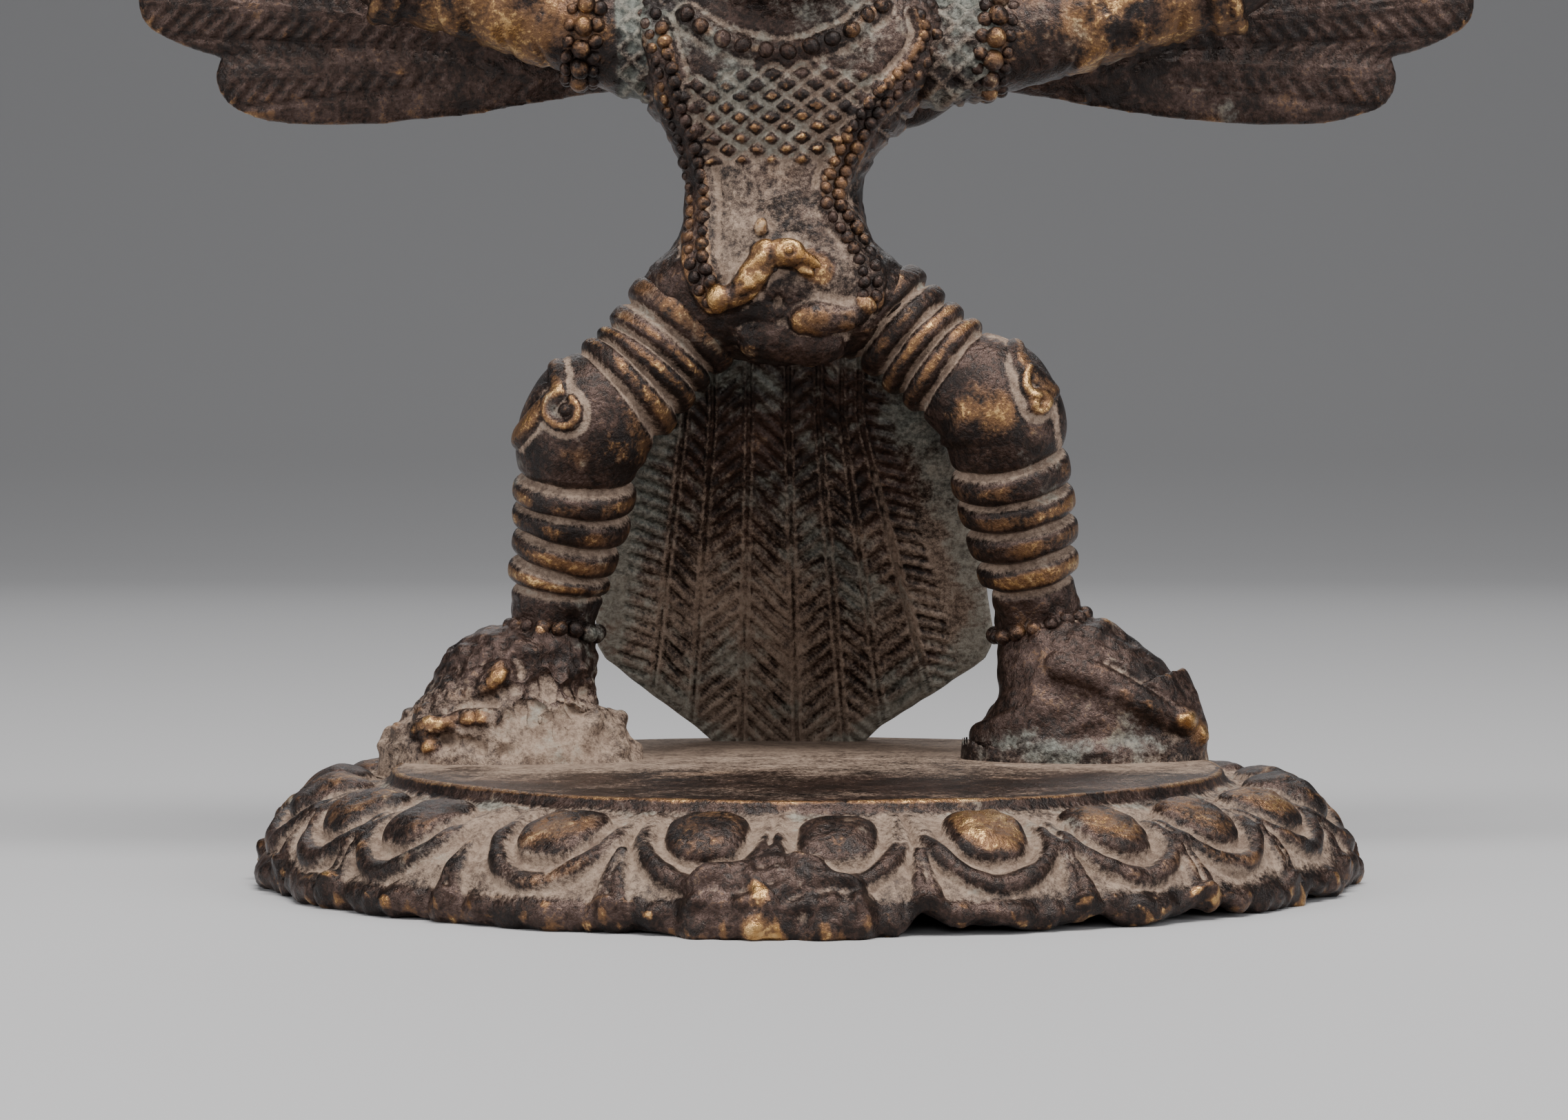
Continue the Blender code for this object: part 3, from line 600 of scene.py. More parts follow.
# %% Press the leaf and the bead between two petals
TIP_DOWN = 16.2
seam = -0.45 * fade(from_gap, 0.32) * (1 - ease(8.0, 9.5, down))
leaf_half = 0.25 + 0.20 * np.clip(down - 7.0, 0, 12)
leaf = 0.95 * bulge(from_gap, leaf_half) * ease(7.5, 9.5, down)
vein = -0.30 * fade(from_gap, 0.24) * ease(9.5, 11, down) * (1 - ease(14.5, 15.5, down))
bead = 1.0 * bulge(np.hypot(from_gap, down - TIP_DOWN), 1.25)
cove = ease(-0.2, 1.4, down)
outside_petal = ease(6.6, 7.6, from_spine)
petals = cove * (np.maximum(boss, border + groove + rill) + seam + outside_petal * (leaf + vein + 0.8 * bead))
lip_roll = 0.5 * fade(down - skirt_length + 0.6, 1.3)
petals = petals * (1 - 0.4 * ease(skirt_length - 1.5, skirt_length + 0.3, down)) + lip_roll
unevenness = (0.26 * ripple(flat_place, 2.6, 22) * ease(3, 9, down) + 0.10 * ripple(flat_place, 1.1, 23)
              + 0.35 * ripple(flat_place, 1.9, 30) * ease(14.5, 16.5, down))
print("petals and leaves rise and fall between", np.round([petals.min(), petals.max()], 2), "mm")

# %% [markdown]
# The lump at the front covers whatever petals lie under it, so it is blended over them instead of added.
# Its upper edge follows an arch, and a ripple roughens it.

# %% Lay the lump over the front
LUMP_TURN, LUMP_HALF_TURN = -3.2, 7.8
from_lump = (degrees - LUMP_TURN) / LUMP_HALF_TURN
lump_edge = 9.4 + 3.6 * np.abs(from_lump) ** 1.7 + 0.7 * ripple(flat_place, 3.0, 24)
at_lump = (1 - ease(0.95, 1.25, np.abs(from_lump))) * ease(lump_edge - 0.4, lump_edge + 1.0, down)
lump = 1.8 + 0.70 * ripple(flat_place, 3.2, 25) + 0.42 * ripple(flat_place, 1.3, 26)
relief = (petals + unevenness) * (1 - at_lump) + lump * at_lump
relief = relief * on_skirt
print("the lump covers", int((at_lump > 0.5).sum()), "points")

# %% [markdown]
# The rim isn't a circle any more. It swells at each petal and is notched between them, it is bent up here
# and there, and the skirt rises a little at both sides, where the old casting was knocked.

# %% Bend the rim and move the points
in_petal = 1 - np.clip(np.abs(a) / 7.8, 0, 1) ** 2.0
lobes = (1.3 * in_petal - 0.9) * ease(12.5, 17.0, down) * (height < 8.5)
lobes = lobes * (1 - at_lump) + 0.5 * at_lump
rim_place = np.column_stack([flat_place[:, 0], flat_place[:, 1], 0 * height])
bent_side = ease(5, 12, degrees) * (1 - ease(70, 90, degrees))
lifted = ease(-0.35, 0.5, ripple(rim_place, 8.0, 27)) * (0.35 + 0.65 * bent_side)
lift = (0.5 + 1.6 * (1 - in_petal) + 0.5 * ripple(rim_place, 2.6, 28)) * lifted * (1 - at_lump)
lift = np.clip(lift, 0, 2.4) * ease(52.5, 56.0, radius)
side_rise = 1.3 * fade(degrees + 88, 26) + 0.9 * fade(degrees - 86, 24)
side_rise = side_rise * ease(1.0, 6.0, down) * (1 - ease(12.0, 17.5, down)) * on_skirt
new_radius = radius + relief * facing_out + lobes
new_height = height + relief * facing_up + side_rise
new_height = new_height + lift * np.clip(1 - height / 3.2, 0, 1)
level_top = (row < len(platform) - 4) * 1.0
new_height = new_height + level_top * 0.10 * ripple(flat_place, 9.0, 29) * ease(0, 30, radius)
co = np.column_stack([new_radius * np.sin(around), -new_radius * np.cos(around), np.maximum(new_height, 0.0)])
write_points(base, co)
print("the base reaches", np.round(co.min(axis=0), 1), np.round(co.max(axis=0), 1))

# %% [markdown]
# The finish of the base follows its petals: dust in every groove of the skirt, bare metal on the bosses that
# hands touch most, on the lump and along the edge of the platform.

# %% Say where the base is dusty and worn
PETAL_WEAR = dict(zip(range(9), (0.35, 0.10, 0.42, 0.22, 0.30, 1.00, 0.72, 0.50, 0.66)))
petal_wear = np.array([PETAL_WEAR.get(i, 0.35) for i in range(len(petal_turns))])
boss_top = ease(1.0, 1.8, boss) * cove * on_skirt
low_ground = on_skirt * (1 - ease(0.35, 1.05, relief))
shade_band = on_skirt * (1 - ease(0.6, 2.2, down))
rim_band = on_skirt * ease(13.5, 16.5, down)
edge_line = ease(44.1, 44.5, radius) * ease(11.6, 11.85, height)
gold_lump = fade(degrees + 4.6, 1.8) * ease(11.5, 13.5, down) * on_skirt
rim_speck = ease(0.25, 0.75, ripple(flat_place, 1.0, 56))
top_dust = level_top * (0.23 + 0.38 * ease(-36, 26, co[:, 1]) + 0.12 * ripple(flat_place, 9.0, 55)
                        + 0.35 * fade(np.hypot(co[:, 0] + 2, co[:, 1] - 34), 16)
                        + 0.35 * fade(np.hypot(co[:, 0] + 31, co[:, 1] - 4), 14)
                        + 0.25 * fade(np.hypot(co[:, 0] - 32, co[:, 1] - 7), 13)
                        - 0.22 * np.exp(-(((co[:, 0] - 5) / 26) ** 2) - (((co[:, 1] + 26) / 12) ** 2)))
PAINT["lotus_base"] = {
    "dust_and_light": (0.58 * low_ground + 0.10 * on_skirt) * (1 - 0.95 * rim_band) * (1 - 0.35 * shade_band)
             + top_dust - 0.42 * boss_top - 0.5 * edge_line,
    "worn": 0.60 * boss_top * petal_wear[nearest] + 0.36 * edge_line
            + 0.80 * gold_lump * (0.7 + ripple(flat_place, 1.2, 57))
            + rim_band * (1 - 0.5 * at_lump) * (0.08 * ease(-20, 10, degrees) - 0.14 + 0.60 * rim_speck)
            - 0.30 * at_lump * (1 - gold_lump) - 0.20 * low_ground,
    "damp": 0.22 * shade_band - 0.30 * level_top - 0.15 * rim_band}

# %% [markdown]
# ## Legs and feet
# The legs are rolls of clay along a bent path: thigh out and down, round the knee, and down to the ankle.
# The feet are flat and broad, like a big bird's, and run outwards over the platform. The left one was worked
# roughly, with a ridge that ends in a knob; the right one is a smooth wedge with a bead for its claw.
# Each foot is a flare of clay that widens down to the platform; what would go through the platform is
# pushed up into its thickness.

# %% Roll the legs and feet
LEFT_LEG = [(-9.5, 10.5, 65.0, 7.8), (-14.9, 9.2, 59.0, 6.2), (-16.8, 8.8, 56.6, 6.1),
            (-18.4, 8.3, 54.6, 6.1), (-20.6, 7.8, 52.4, 6.5), (-23.6, 7.3, 49.6, 7.4),
            (-25.0, 7.3, 46.6, 7.2), (-25.5, 7.8, 43.4, 6.4), (-25.9, 8.8, 39.8, 6.2),
            (-26.5, 9.6, 36.3, 5.6), (-27.4, 10.4, 32.8, 5.2), (-28.0, 11.0, 29.5, 4.9),
            (-28.2, 11.5, 26.0, 4.8), (-28.2, 12.0, 21.0, 5.3)]
RIGHT_LEG = [(5.0, 10.5, 64.5, 7.4), (10.2, 9.4, 59.8, 5.7), (12.2, 9.0, 58.0, 5.6), (14.3, 8.5, 56.2, 5.6),
             (16.6, 8.0, 54.3, 5.9), (19.8, 7.4, 52.0, 7.0), (21.6, 7.3, 48.9, 7.1), (22.0, 7.8, 46.0, 6.3),
             (22.9, 9.0, 41.8, 6.0), (23.7, 10.0, 37.8, 5.8), (24.4, 10.8, 34.2, 5.2),
             (25.1, 11.6, 30.6, 4.7), (26.1, 12.6, 27.0, 4.8), (26.8, 13.4, 21.5, 5.2)]
left_parts = [
    roll("left_leg", LEFT_LEG, 80, 160),
    roll("left_foot", [(-28.2, 11.6, 29.0, 4.0, 1.0), (-28.2, 11.5, 26.0, 4.7, 1.0),
                       (-28.9, 11.0, 23.8, 6.2, 0.92), (-30.3, 10.4, 21.4, 8.4, 0.80),
                       (-31.4, 9.9, 19.0, 10.1, 0.72), (-31.7, 9.4, 16.6, 12.0, 0.66),
                       (-32.0, 9.0, 14.0, 13.8, 0.64), (-32.2, 8.8, 11.4, 15.2, 0.62),
                       (-32.2, 8.8, 2.0, 15.6, 0.62), (-32.2, 8.8, -14.0, 14.0, 0.62)], 120, 150),
    pebble("left_heel_knob", (-21.4, 8.4, 16.2), (1.5, 1.6, 1.3)),
]
right_parts = [
    roll("right_leg", RIGHT_LEG, 80, 160),
    roll("right_foot", [(25.6, 12.2, 29.0, 4.2, 1.0), (25.8, 12.2, 26.2, 4.9, 1.0),
                        (26.7, 11.8, 24.2, 6.3, 0.95), (28.2, 11.2, 21.8, 8.5, 0.82),
                        (29.3, 10.8, 19.2, 10.8, 0.70), (29.9, 10.4, 17.0, 12.4, 0.62),
                        (30.8, 10.0, 14.8, 13.4, 0.60), (30.8, 10.0, 12.0, 13.8, 0.60),
                        (30.8, 10.0, 2.0, 14.0, 0.60), (30.8, 10.0, -14.0, 12.0, 0.60)], 120, 150),
    pebble("right_claw", (43.2, 7.6, 15.2), (1.0, 1.3, 1.6), 0.5),
]
left_leg = fuse("left_leg", left_parts, 0.27, 3)
right_leg = fuse("right_leg", right_parts, 0.27, 3)
for piece in (left_leg, right_leg):
    co = read_points(piece)
    co[:, 2] = np.maximum(co[:, 2], 10.2)
    write_points(piece, co)

# %% [markdown]
# Rounded rings wrap the thigh and the shin, like the scaly rings on a bird's leg. Between two rings is a
# narrow groove whose lower side is a ledge for dust. The rings are pressed in after the fusing, so that
# they stay crisp: each point finds its place along the leg, and the marks say where the grooves are.

# %% Press the rings
def along_roll(co, stations, count=420):
    """For each point, how far along the roll it lies and its turn around the roll from the front."""
    path, length = smooth_run(stations, count)
    tangent = np.gradient(path[:, :3], axis=0)
    tangent /= np.linalg.norm(tangent, axis=1)[:, None]
    near = np.empty(len(co), int)
    for start in range(0, len(co), 20000):
        block = co[start:start + 20000]
        near[start:start + 20000] = ((block[:, None, :] - path[None, :, :3]) ** 2).sum(axis=2).argmin(axis=1)
    away = co - path[near, :3]
    along = near * length / (count - 1) + (away * tangent[near]).sum(axis=1)
    ahead = np.array([0.0, -1.0, 0.0]) + tangent[near] * tangent[near][:, 1:2]
    ahead /= np.linalg.norm(ahead, axis=1)[:, None]
    side = np.cross(tangent[near], ahead)
    return along, np.arctan2((away * side).sum(axis=1), (away * ahead).sum(axis=1))


def marks_at(stations, levels, count=420):
    """How far along the roll its middle passes each height."""
    path, length = smooth_run(stations, count)
    steps = np.linspace(0, length, count)
    return [float(np.interp(-z, -path[:, 2], steps)) for z in levels]


def leg_rings(piece, stations, levels, seed):
    """Press rings between the marks; give the heights, the dust and the wear that go with them."""
    co = read_points(piece)
    along, turn = along_roll(co, stations)
    rng = np.random.default_rng(seed)
    lift, dust_and_light, worn = (np.zeros(len(co)) for _ in range(3))
    for group in levels:
        marks = [m + rng.uniform(-0.22, 0.22) * np.sin(turn + rng.uniform(0, 6))
                 + rng.uniform(-0.10, 0.10) * np.sin(3 * turn + rng.uniform(0, 6))
                 for m in marks_at(stations, group)]
        for low, high in zip(marks[:-1], marks[1:]):
            t = np.clip((along - low) / (high - low), 0, 1)
            lift += 0.62 * np.clip(1 - np.abs(2 * t - 1) ** 2.6, 0, 1) * ((t > 0) & (t < 1))
            worn += 0.15 * fade(t - 0.45, 0.20) * ((t > 0) & (t < 1))
        for mark in marks:
            lift -= 0.62 * fade(along - mark, 0.46)
            dust_and_light += 0.85 * fade(along - mark - 0.12, 0.50)
            worn -= 0.5 * fade(along - mark, 0.55)
    press(piece, lift)
    return dust_and_light, worn


left_dusty, left_worn = leg_rings(left_leg, LEFT_LEG, ([63.8, 61.2, 58.6, 56.2, 54.2, 52.3],
                                                       [43.0, 39.9, 36.6, 33.4, 30.8]), 31)
right_dusty, right_worn = leg_rings(right_leg, RIGHT_LEG, ([62.6, 60.4, 58.4, 56.5, 54.8],
                                                           [45.2, 41.8, 38.3, 34.8, 31.6]), 41)

# %% [markdown]
# On the outer side of each knee lies a leaf that ends in an open curl around a bead. The leaf is a raised
# field with a sharp border, so we press its inner border as a ridge and the line beside it as a groove.

# %% Press the knee leaves
def knee_leaf(piece, border, edge, curl, bead):
    """Give the dust and the wear of the leaf after pressing it."""
    co = read_points(piece)
    no = read_normals(piece)
    front = ease(-0.35, 0.1, -no[:, 1]) * ease(43.5, 46.0, co[:, 2])
    groove = off_line(co, draw_line(border))
    ridge = off_line(co, draw_line(edge))
    hook = off_line(co, draw_line(curl, 90))
    button = np.hypot(co[:, 0] - bead[0], co[:, 2] - bead[1])
    height = -0.50 * fade(groove, 0.48) + 0.55 * bulge(ridge, 1.0)
    height = np.maximum(height, 0.75 * bulge(hook, 0.60)) + 0.7 * bulge(button, 0.75)
    press(piece, height * front, no)
    raised = np.maximum(bulge(hook, 0.6), np.maximum(bulge(button, 0.8), 0.8 * bulge(ridge, 1.0)))
    line = fade(groove, 0.52) * (1 - raised)
    outer = fade(hook - 1.1, 0.35) * (1 - raised)
    return front * (0.85 * line + 0.45 * outer - 0.6 * raised), front * (0.26 * raised - 0.6 * line)


leaf_dusty, leaf_worn = knee_leaf(
    left_leg,
    [(-26.3, 56.1), (-25.9, 54.2), (-25.4, 52.8), (-24.3, 51.3), (-24.0, 49.6), (-24.5, 48.5), (-25.9, 47.8),
     (-27.3, 48.3), (-28.4, 49.3), (-29.6, 48.2), (-31.2, 46.3)],
    [(-27.4, 55.2), (-27.2, 53.8), (-27.3, 52.4), (-28.6, 51.0), (-29.8, 49.6), (-31.8, 47.4)],
    [(-27.0, 52.5), (-28.1, 51.6), (-28.4, 50.3), (-27.6, 49.2), (-26.2, 48.8), (-25.1, 49.5), (-24.9, 50.7),
     (-25.5, 51.7)], (-26.2, 50.6))
left_dusty, left_worn = left_dusty + leaf_dusty, left_worn + leaf_worn
leaf_dusty, leaf_worn = knee_leaf(
    right_leg,
    [(20.0, 58.8), (21.7, 58.2), (22.3, 57.0), (21.9, 55.6), (22.4, 53.9), (22.8, 52.2), (23.4, 50.8),
     (24.5, 49.6), (26.2, 50.3), (26.9, 50.6), (27.3, 48.6), (27.6, 46.6)],
    [(22.8, 57.6), (23.3, 56.2), (24.1, 55.1), (25.5, 53.9), (26.6, 52.6)],
    [(24.0, 55.0), (23.6, 53.6), (24.2, 52.4), (25.6, 52.2), (26.2, 51.4), (25.4, 50.5), (24.4, 50.8)],
    (24.6, 51.6))
right_dusty, right_worn = right_dusty + leaf_dusty, right_worn + leaf_worn

# %% Roughen the feet and the anklets
def blob(co, x, z, wide, tall):
    """1 at a place in the front view, fading to 0 around it."""
    return np.exp(-(((co[:, 0] - x) / wide) ** 2) - (((co[:, 2] - z) / tall) ** 2))


for piece, rough in ((left_leg, 0.46), (right_leg, 0.14)):
    co = read_points(piece)
    low = (1 - ease(23.5, 26.0, co[:, 2])) * ease(12.0, 13.5, co[:, 2])
    anklet = ease(24.0, 25.5, co[:, 2]) * (1 - ease(29.5, 31.0, co[:, 2]))
    press(piece, low * (rough * ripple(co, 2.0, 51) + 0.5 * rough * ripple(co, 0.9, 52))
          + anklet * 0.28 * ripple(co, 1.5, 54) + 0.09 * ripple(co, 3.0, 53))

# %% Shape the toes of the left foot
co = read_points(left_leg)
no = read_normals(left_leg)
front = ease(-0.1, 0.3, -no[:, 1])
toe = off_line(co, draw_line([(-34.0, 17.2), (-36.8, 17.0), (-39.6, 16.3), (-42.6, 15.3)], 30))
upper_toe = off_line(co, draw_line([(-33.2, 21.8), (-36.6, 20.6), (-39.6, 19.0), (-42.0, 17.4)], 30))
under_toe = blob(co, -38.6, 14.6, 4.2, 0.8)
knobs = sum(size * blob(co, x, z, wide, wide) for x, z, wide, size in
            ((-41.0, 14.2, 1.3, 1.1), (-33.4, 21.6, 0.7, 0.6), (-34.6, 20.4, 0.7, 0.5),
             (-37.4, 19.4, 0.6, 0.3), (-29.4, 26.4, 0.8, 0.8)))
pits = (blob(co, -35.5, 13.6, 0.8, 0.7) + blob(co, -33.2, 13.4, 0.8, 0.7)
        + 0.7 * blob(co, -24.4, 19.0, 0.9, 1.2))
hollow_front = blob(co, -28.6, 18.0, 4.4, 4.2)
press(left_leg, front * (0.75 * bulge(toe, 0.95) + 0.55 * bulge(upper_toe, 1.6) + 1.0 * knobs - 0.9 * pits
                         - 1.0 * under_toe - 1.3 * hollow_front), no)
foot_low = 1 - ease(12.0, 24.0, co[:, 2])
toe_gold = (front * np.maximum(bulge(toe, 0.9), np.clip(0.8 * knobs, 0, 1))
            * ease(-0.9, 0.5, ripple(co, 1.5, 58)))
PAINT["left_leg"] = {
    "dust_and_light": left_dusty + 0.46 * foot_low + 0.22 * blob(co, -27.0, 15.0, 6.0, 3.5)
             + 0.18 * (1 - ease(20.0, 25.0, co[:, 2])) - 0.7 * toe_gold
             - 0.25 * blob(co, -28.5, 20.5, 3.5, 2.6),
    "worn": left_worn + 0.30 * blob(co, -20.5, 47.0, 3.5, 3.0) + 0.34 * blob(co, -26.5, 45.3, 3.0, 1.6)
            + 0.30 * blob(co, -30.5, 51.5, 2.0, 3.5) + 0.42 * toe_gold
            - 0.25 * (1 - ease(18, 24, co[:, 2])) * ease(-34, -30, co[:, 0])}

print("the toes of the left foot reach x =", round(float(co[:, 0].min()), 1), "mm")

# %% Shape the ridge and the claw of the right foot
co = read_points(right_leg)
no = read_normals(right_leg)
front = ease(-0.1, 0.3, -no[:, 1])
ridge = off_line(co, draw_line([(27.5, 22.6), (31.8, 21.4), (35.9, 19.3), (39.9, 17.2), (41.6, 16.3)], 40))
split = off_line(co, draw_line([(32.6, 23.2), (36.6, 20.9), (40.2, 18.2), (42.0, 16.9)], 30))
below = ease(0.0, 3.0, 22.0 - 0.42 * (co[:, 0] - 29.0) - co[:, 2]) * ease(24.0, 29.0, co[:, 0])
tip = 1.1 * blob(co, 41.4, 16.6, 0.9, 0.8)
off_edge = 1 - ease(38.5, 40.5, co[:, 0])
press(right_leg, front * (0.45 * bulge(ridge, 1.5) - 0.35 * off_edge * fade(split, 0.4) + 0.9 * tip
                          - 0.9 * below * (1 - ease(40, 43, co[:, 0])) * ease(13.0, 15.0, co[:, 2])), no)
claw = blob(co, 43.4, 15.0, 1.3, 1.5)
PAINT["right_leg"] = {
    "dust_and_light": right_dusty + 0.36 * (1 - ease(12.0, 15.0, co[:, 2])) + 0.25 * front * fade(split, 0.45)
             + 0.22 * blob(co, 23.0, 15.5, 5.0, 1.8) - 0.7 * claw - 0.25 * blob(co, 30.0, 18.0, 7.0, 3.0),
    "worn": right_worn + 0.42 * blob(co, 20.5, 50.0, 3.4, 2.4) + 0.30 * blob(co, 17.0, 50.5, 2.6, 1.4)
            + 0.45 * claw + 0.40 * tip + 0.05 * front * bulge(ridge, 0.9) * ease(34, 40, co[:, 0])
            - 0.30 * (1 - ease(18, 24, co[:, 2])) * (1 - ease(30, 35, co[:, 0])),
    "damp": 0.25 * (1 - ease(13.5, 17.0, co[:, 2])) * (1 - ease(36.0, 42.0, co[:, 0]))}

# %% [markdown]
# ## Trunk, neck and belly
# The trunk is one roll whose rings have their own width and depth: narrow at the waist, broad at the chest.
# A small helper tells how far forward its skin is at any place in the front view, so that the necklace,
# the garlands and the serpent can be laid on it.

# %% Shape the trunk
TRUNK = np.array([(55.4, -2.6, 11.0, 4.0, 3.0), (57.2, -2.8, 10.8, 10.0, 6.8), (60.5, -3.0, 10.5, 14.2, 9.0),
                  (64.0, -3.2, 10.3, 15.3, 9.9), (66.5, -3.3, 10.2, 13.7, 9.9), (69.2, -3.5, 10.2, 11.0, 9.4),
                  (72.5, -3.6, 10.2, 9.9, 8.6), (76.0, -3.6, 10.1, 9.8, 8.0), (79.0, -3.2, 10.0, 11.3, 8.2),
                  (82.5, -2.8, 10.0, 13.7, 8.8), (87.0, -2.5, 10.0, 16.6, 9.4), (92.0, -2.2, 10.0, 18.8, 9.0),
                  (96.2, -2.2, 10.2, 16.5, 7.6), (99.5, -2.2, 10.4, 9.0, 5.0)])
SQUARE = 2.5


def trunk_at(z):
    return [np.interp(z, TRUNK[:, 0], TRUNK[:, i]) for i in range(1, 5)]


def skin_front(x, z):
    """How far forward (y) the trunk's skin lies at a place in the front view."""
    cx, cy, hw, hd = trunk_at(z)
    t = np.clip(np.abs((x - cx) / hw), 0, 0.98)
    return cy - hd * (1 - t ** SQUARE) ** (1 / SQUARE)


def shape_trunk():
    rings, sides = 120, 120
    deselect()
    bpy.ops.mesh.primitive_uv_sphere_add(segments=sides, ring_count=rings, radius=1.0)
    piece = bpy.context.object
    piece.name = "trunk"
    unit = read_points(piece) * MM
    ring = np.arccos(np.clip(unit[:, 2], -1, 1)) / math.pi
    angle = np.arctan2(unit[:, 1], unit[:, 0])
    table, _ = smooth_run([(row[0], 0, 0, *row[1:]) for row in TRUNK], rings + 1)
    index = np.rint(ring * rings).astype(int)
    close = np.sqrt(np.clip(1 - (2 * ring - 1) ** 24, 0, 1))
    c, s = np.cos(angle), np.sin(angle)
    z, cx, cy, hw, hd = (table[index, i] for i in (0, 3, 4, 5, 6))
    x = cx + close * hw * np.sign(c) * np.abs(c) ** (2 / SQUARE)
    y = cy + close * hd * np.sign(s) * np.abs(s) ** (2 / SQUARE)
    write_points(piece, np.column_stack([x, y, z]))
    face_out(piece)
    return piece


def on_skin(points, out=0.0):
    """Lay (x, z, radius) points on the trunk, sunk or raised by out."""
    return [(x, float(skin_front(x, z)) - out, z, r) for x, z, r in points]

# %% Add the neck, the serpent and the belly fold
trunk = shape_trunk()
neck = roll("neck", [(-2.2, 10.5, 90.0, 8.4), (-2.2, 9.6, 97.0, 7.6), (-2.2, 8.8, 104.0, 7.8),
                     (-2.2, 8.2, 110.0, 8.2)], 64, 60)
serpent = [
    roll("serpent_neck", on_skin([(-10.6, 62.6, 1.1), (-8.8, 62.7, 1.35), (-7.4, 63.4, 1.5),
                                  (-6.3, 64.6, 1.6), (-5.3, 66.1, 1.65), (-4.4, 67.4, 1.7),
                                  (-3.2, 68.0, 1.8)], 0.6), 28, 60),
    pebble("serpent_head", (-2.2, float(skin_front(-2.2, 67.6)) - 1.0, 67.6), (2.15, 1.9, 1.75)),
    roll("serpent_beak", on_skin([(-1.0, 67.3, 1.1), (0.2, 66.9, 0.7), (1.6, 66.0, 0.28)], 1.1), 20, 24),
    roll("serpent_jaw", on_skin([(-1.2, 66.0, 0.6), (-0.3, 65.7, 0.5), (0.7, 65.3, 0.3)], 0.8), 20, 24),
    roll("garland_end", on_skin([(6.6, 62.6, 1.1), (5.6, 61.3, 1.4), (3.7, 60.6, 1.7), (1.4, 60.6, 1.9),
                                 (-0.6, 60.4, 1.6), (-2.0, 60.0, 1.0)], 0.4), 28, 50, flat=0.9),
    pebble("navel_knob", (-5.0, float(skin_front(-5.0, 70.4)) - 0.2, 70.4), (0.75, 0.9, 1.0)),
    roll("belly_fold", on_skin([(-8.0, 59.4, 2.4), (-3.5, 58.6, 2.9), (1.5, 58.2, 2.6), (4.5, 58.8, 2.0)],
                               -1.4), 32, 40),
]

# %% [markdown]
# ## Arms and hands
# The photograph ends above the elbows, so the forearms and hands follow the usual pose of this figure:
# arms held out and raised in front of the wings, palms forward. Bangles ring the arm above the elbow.

# %% Bangles and hands
def bangle(name, centre, axis, ring, thick):
    deselect()
    turn = Vector(axis).to_track_quat("Z", "Y").to_euler()
    bpy.ops.mesh.primitive_torus_add(major_segments=64, minor_segments=16, major_radius=ring * MM,
                                     minor_radius=thick * MM, rotation=turn,
                                     location=tuple(c * MM for c in centre))
    piece = bpy.context.object
    piece.name = name
    bpy.ops.object.transform_apply(location=True, rotation=True, scale=True)
    return piece


PALM_X, PALM_Z = 55.8, 117.2
FINGERS = [(-3.0, 9.6, 0.95, -0.20), (-1.1, 11.4, 1.05, -0.06), (0.9, 11.2, 1.05, 0.08),
           (2.8, 9.2, 0.9, 0.22)]


def hand_bits(name, side, drop):
    """A palm, four fingers of (place, reach, half width, lean), and a thumb that points inwards."""
    bits = [pebble(f"{name}_palm", (PALM_X * side, 3.6, PALM_Z - drop), (4.1, 2.1, 4.9))]
    for i, (off, reach, thick, lean) in enumerate(FINGERS):
        x = PALM_X * side + off * side
        tip = x + lean * reach * side
        bits.append(roll(f"{name}_finger_{i}", [(x, 3.3, 119.5 - drop, thick + 0.15),
                                                (0.5 * (x + tip), 2.6, 119.5 + reach * 0.5 - drop, thick),
                                                (tip, 3.0, 117.5 + reach - drop, thick * 0.8)], 20, 28))
    bits.append(roll(f"{name}_thumb", [(52.8 * side, 3.0, 115.2 - drop, 1.3),
                                       (50.4 * side, 2.2, 117.6 - drop, 1.15),
                                       (49.6 * side, 1.8, 120.4 - drop, 0.95)], 20, 28))
    return bits


print("each hand has", len(FINGERS), "fingers and a thumb")

# %% Roll the arms
def arm(name, side, drop):
    """One arm. Side is -1 for the left of the picture and 1 for the right."""
    shoulder_x = -19.0 if side < 0 else 14.6
    run = [(shoulder_x * 0.55, 10.0, 90.5 - drop, 7.0), (shoulder_x, 10.0, 91.5 - drop, 6.4),
           (27.5 * side, 9.2, 93.6 - drop, 5.2), (37.0 * side, 8.2, 96.0 - drop, 4.8),
           (45.5 * side, 7.6, 98.6 - drop, 4.4), (49.5 * side, 7.0, 101.6 - drop, 4.4),
           (53.0 * side, 5.8, 106.5 - drop, 3.9), (55.2 * side, 4.4, 112.5 - drop, 3.1)]
    bits = [roll(name, run, 64, 150)] + hand_bits(name, side, drop)
    along_arm, along_wrist = (0.93 * side, -0.08, 0.33), (0.30 * side, -0.22, 0.92)
    for x, r in ((44.2, 4.7), (46.0, 4.6)):
        bits.append(bangle(f"{name}_bangle_{x}", (x * side, 7.7, 98.2 - drop), along_arm, r, 1.0))
    for z, r in ((110.2, 3.4), (112.0, 3.2)):
        bits.append(bangle(f"{name}_wrist_{z}", (54.9 * side, 4.8, z - drop), along_wrist, r, 0.8))
    return fuse(name, bits, 0.34, 2)


left_arm = arm("left_arm", -1, 0.0)
right_arm = arm("right_arm", 1, 1.2)

# %% [markdown]
# The feather net of the chest runs on over the shoulders, and curved plumes cover the upper arms as far as
# the bangles. The plumes are where the arm is worn to the metal; the net holds dust and verdigris.

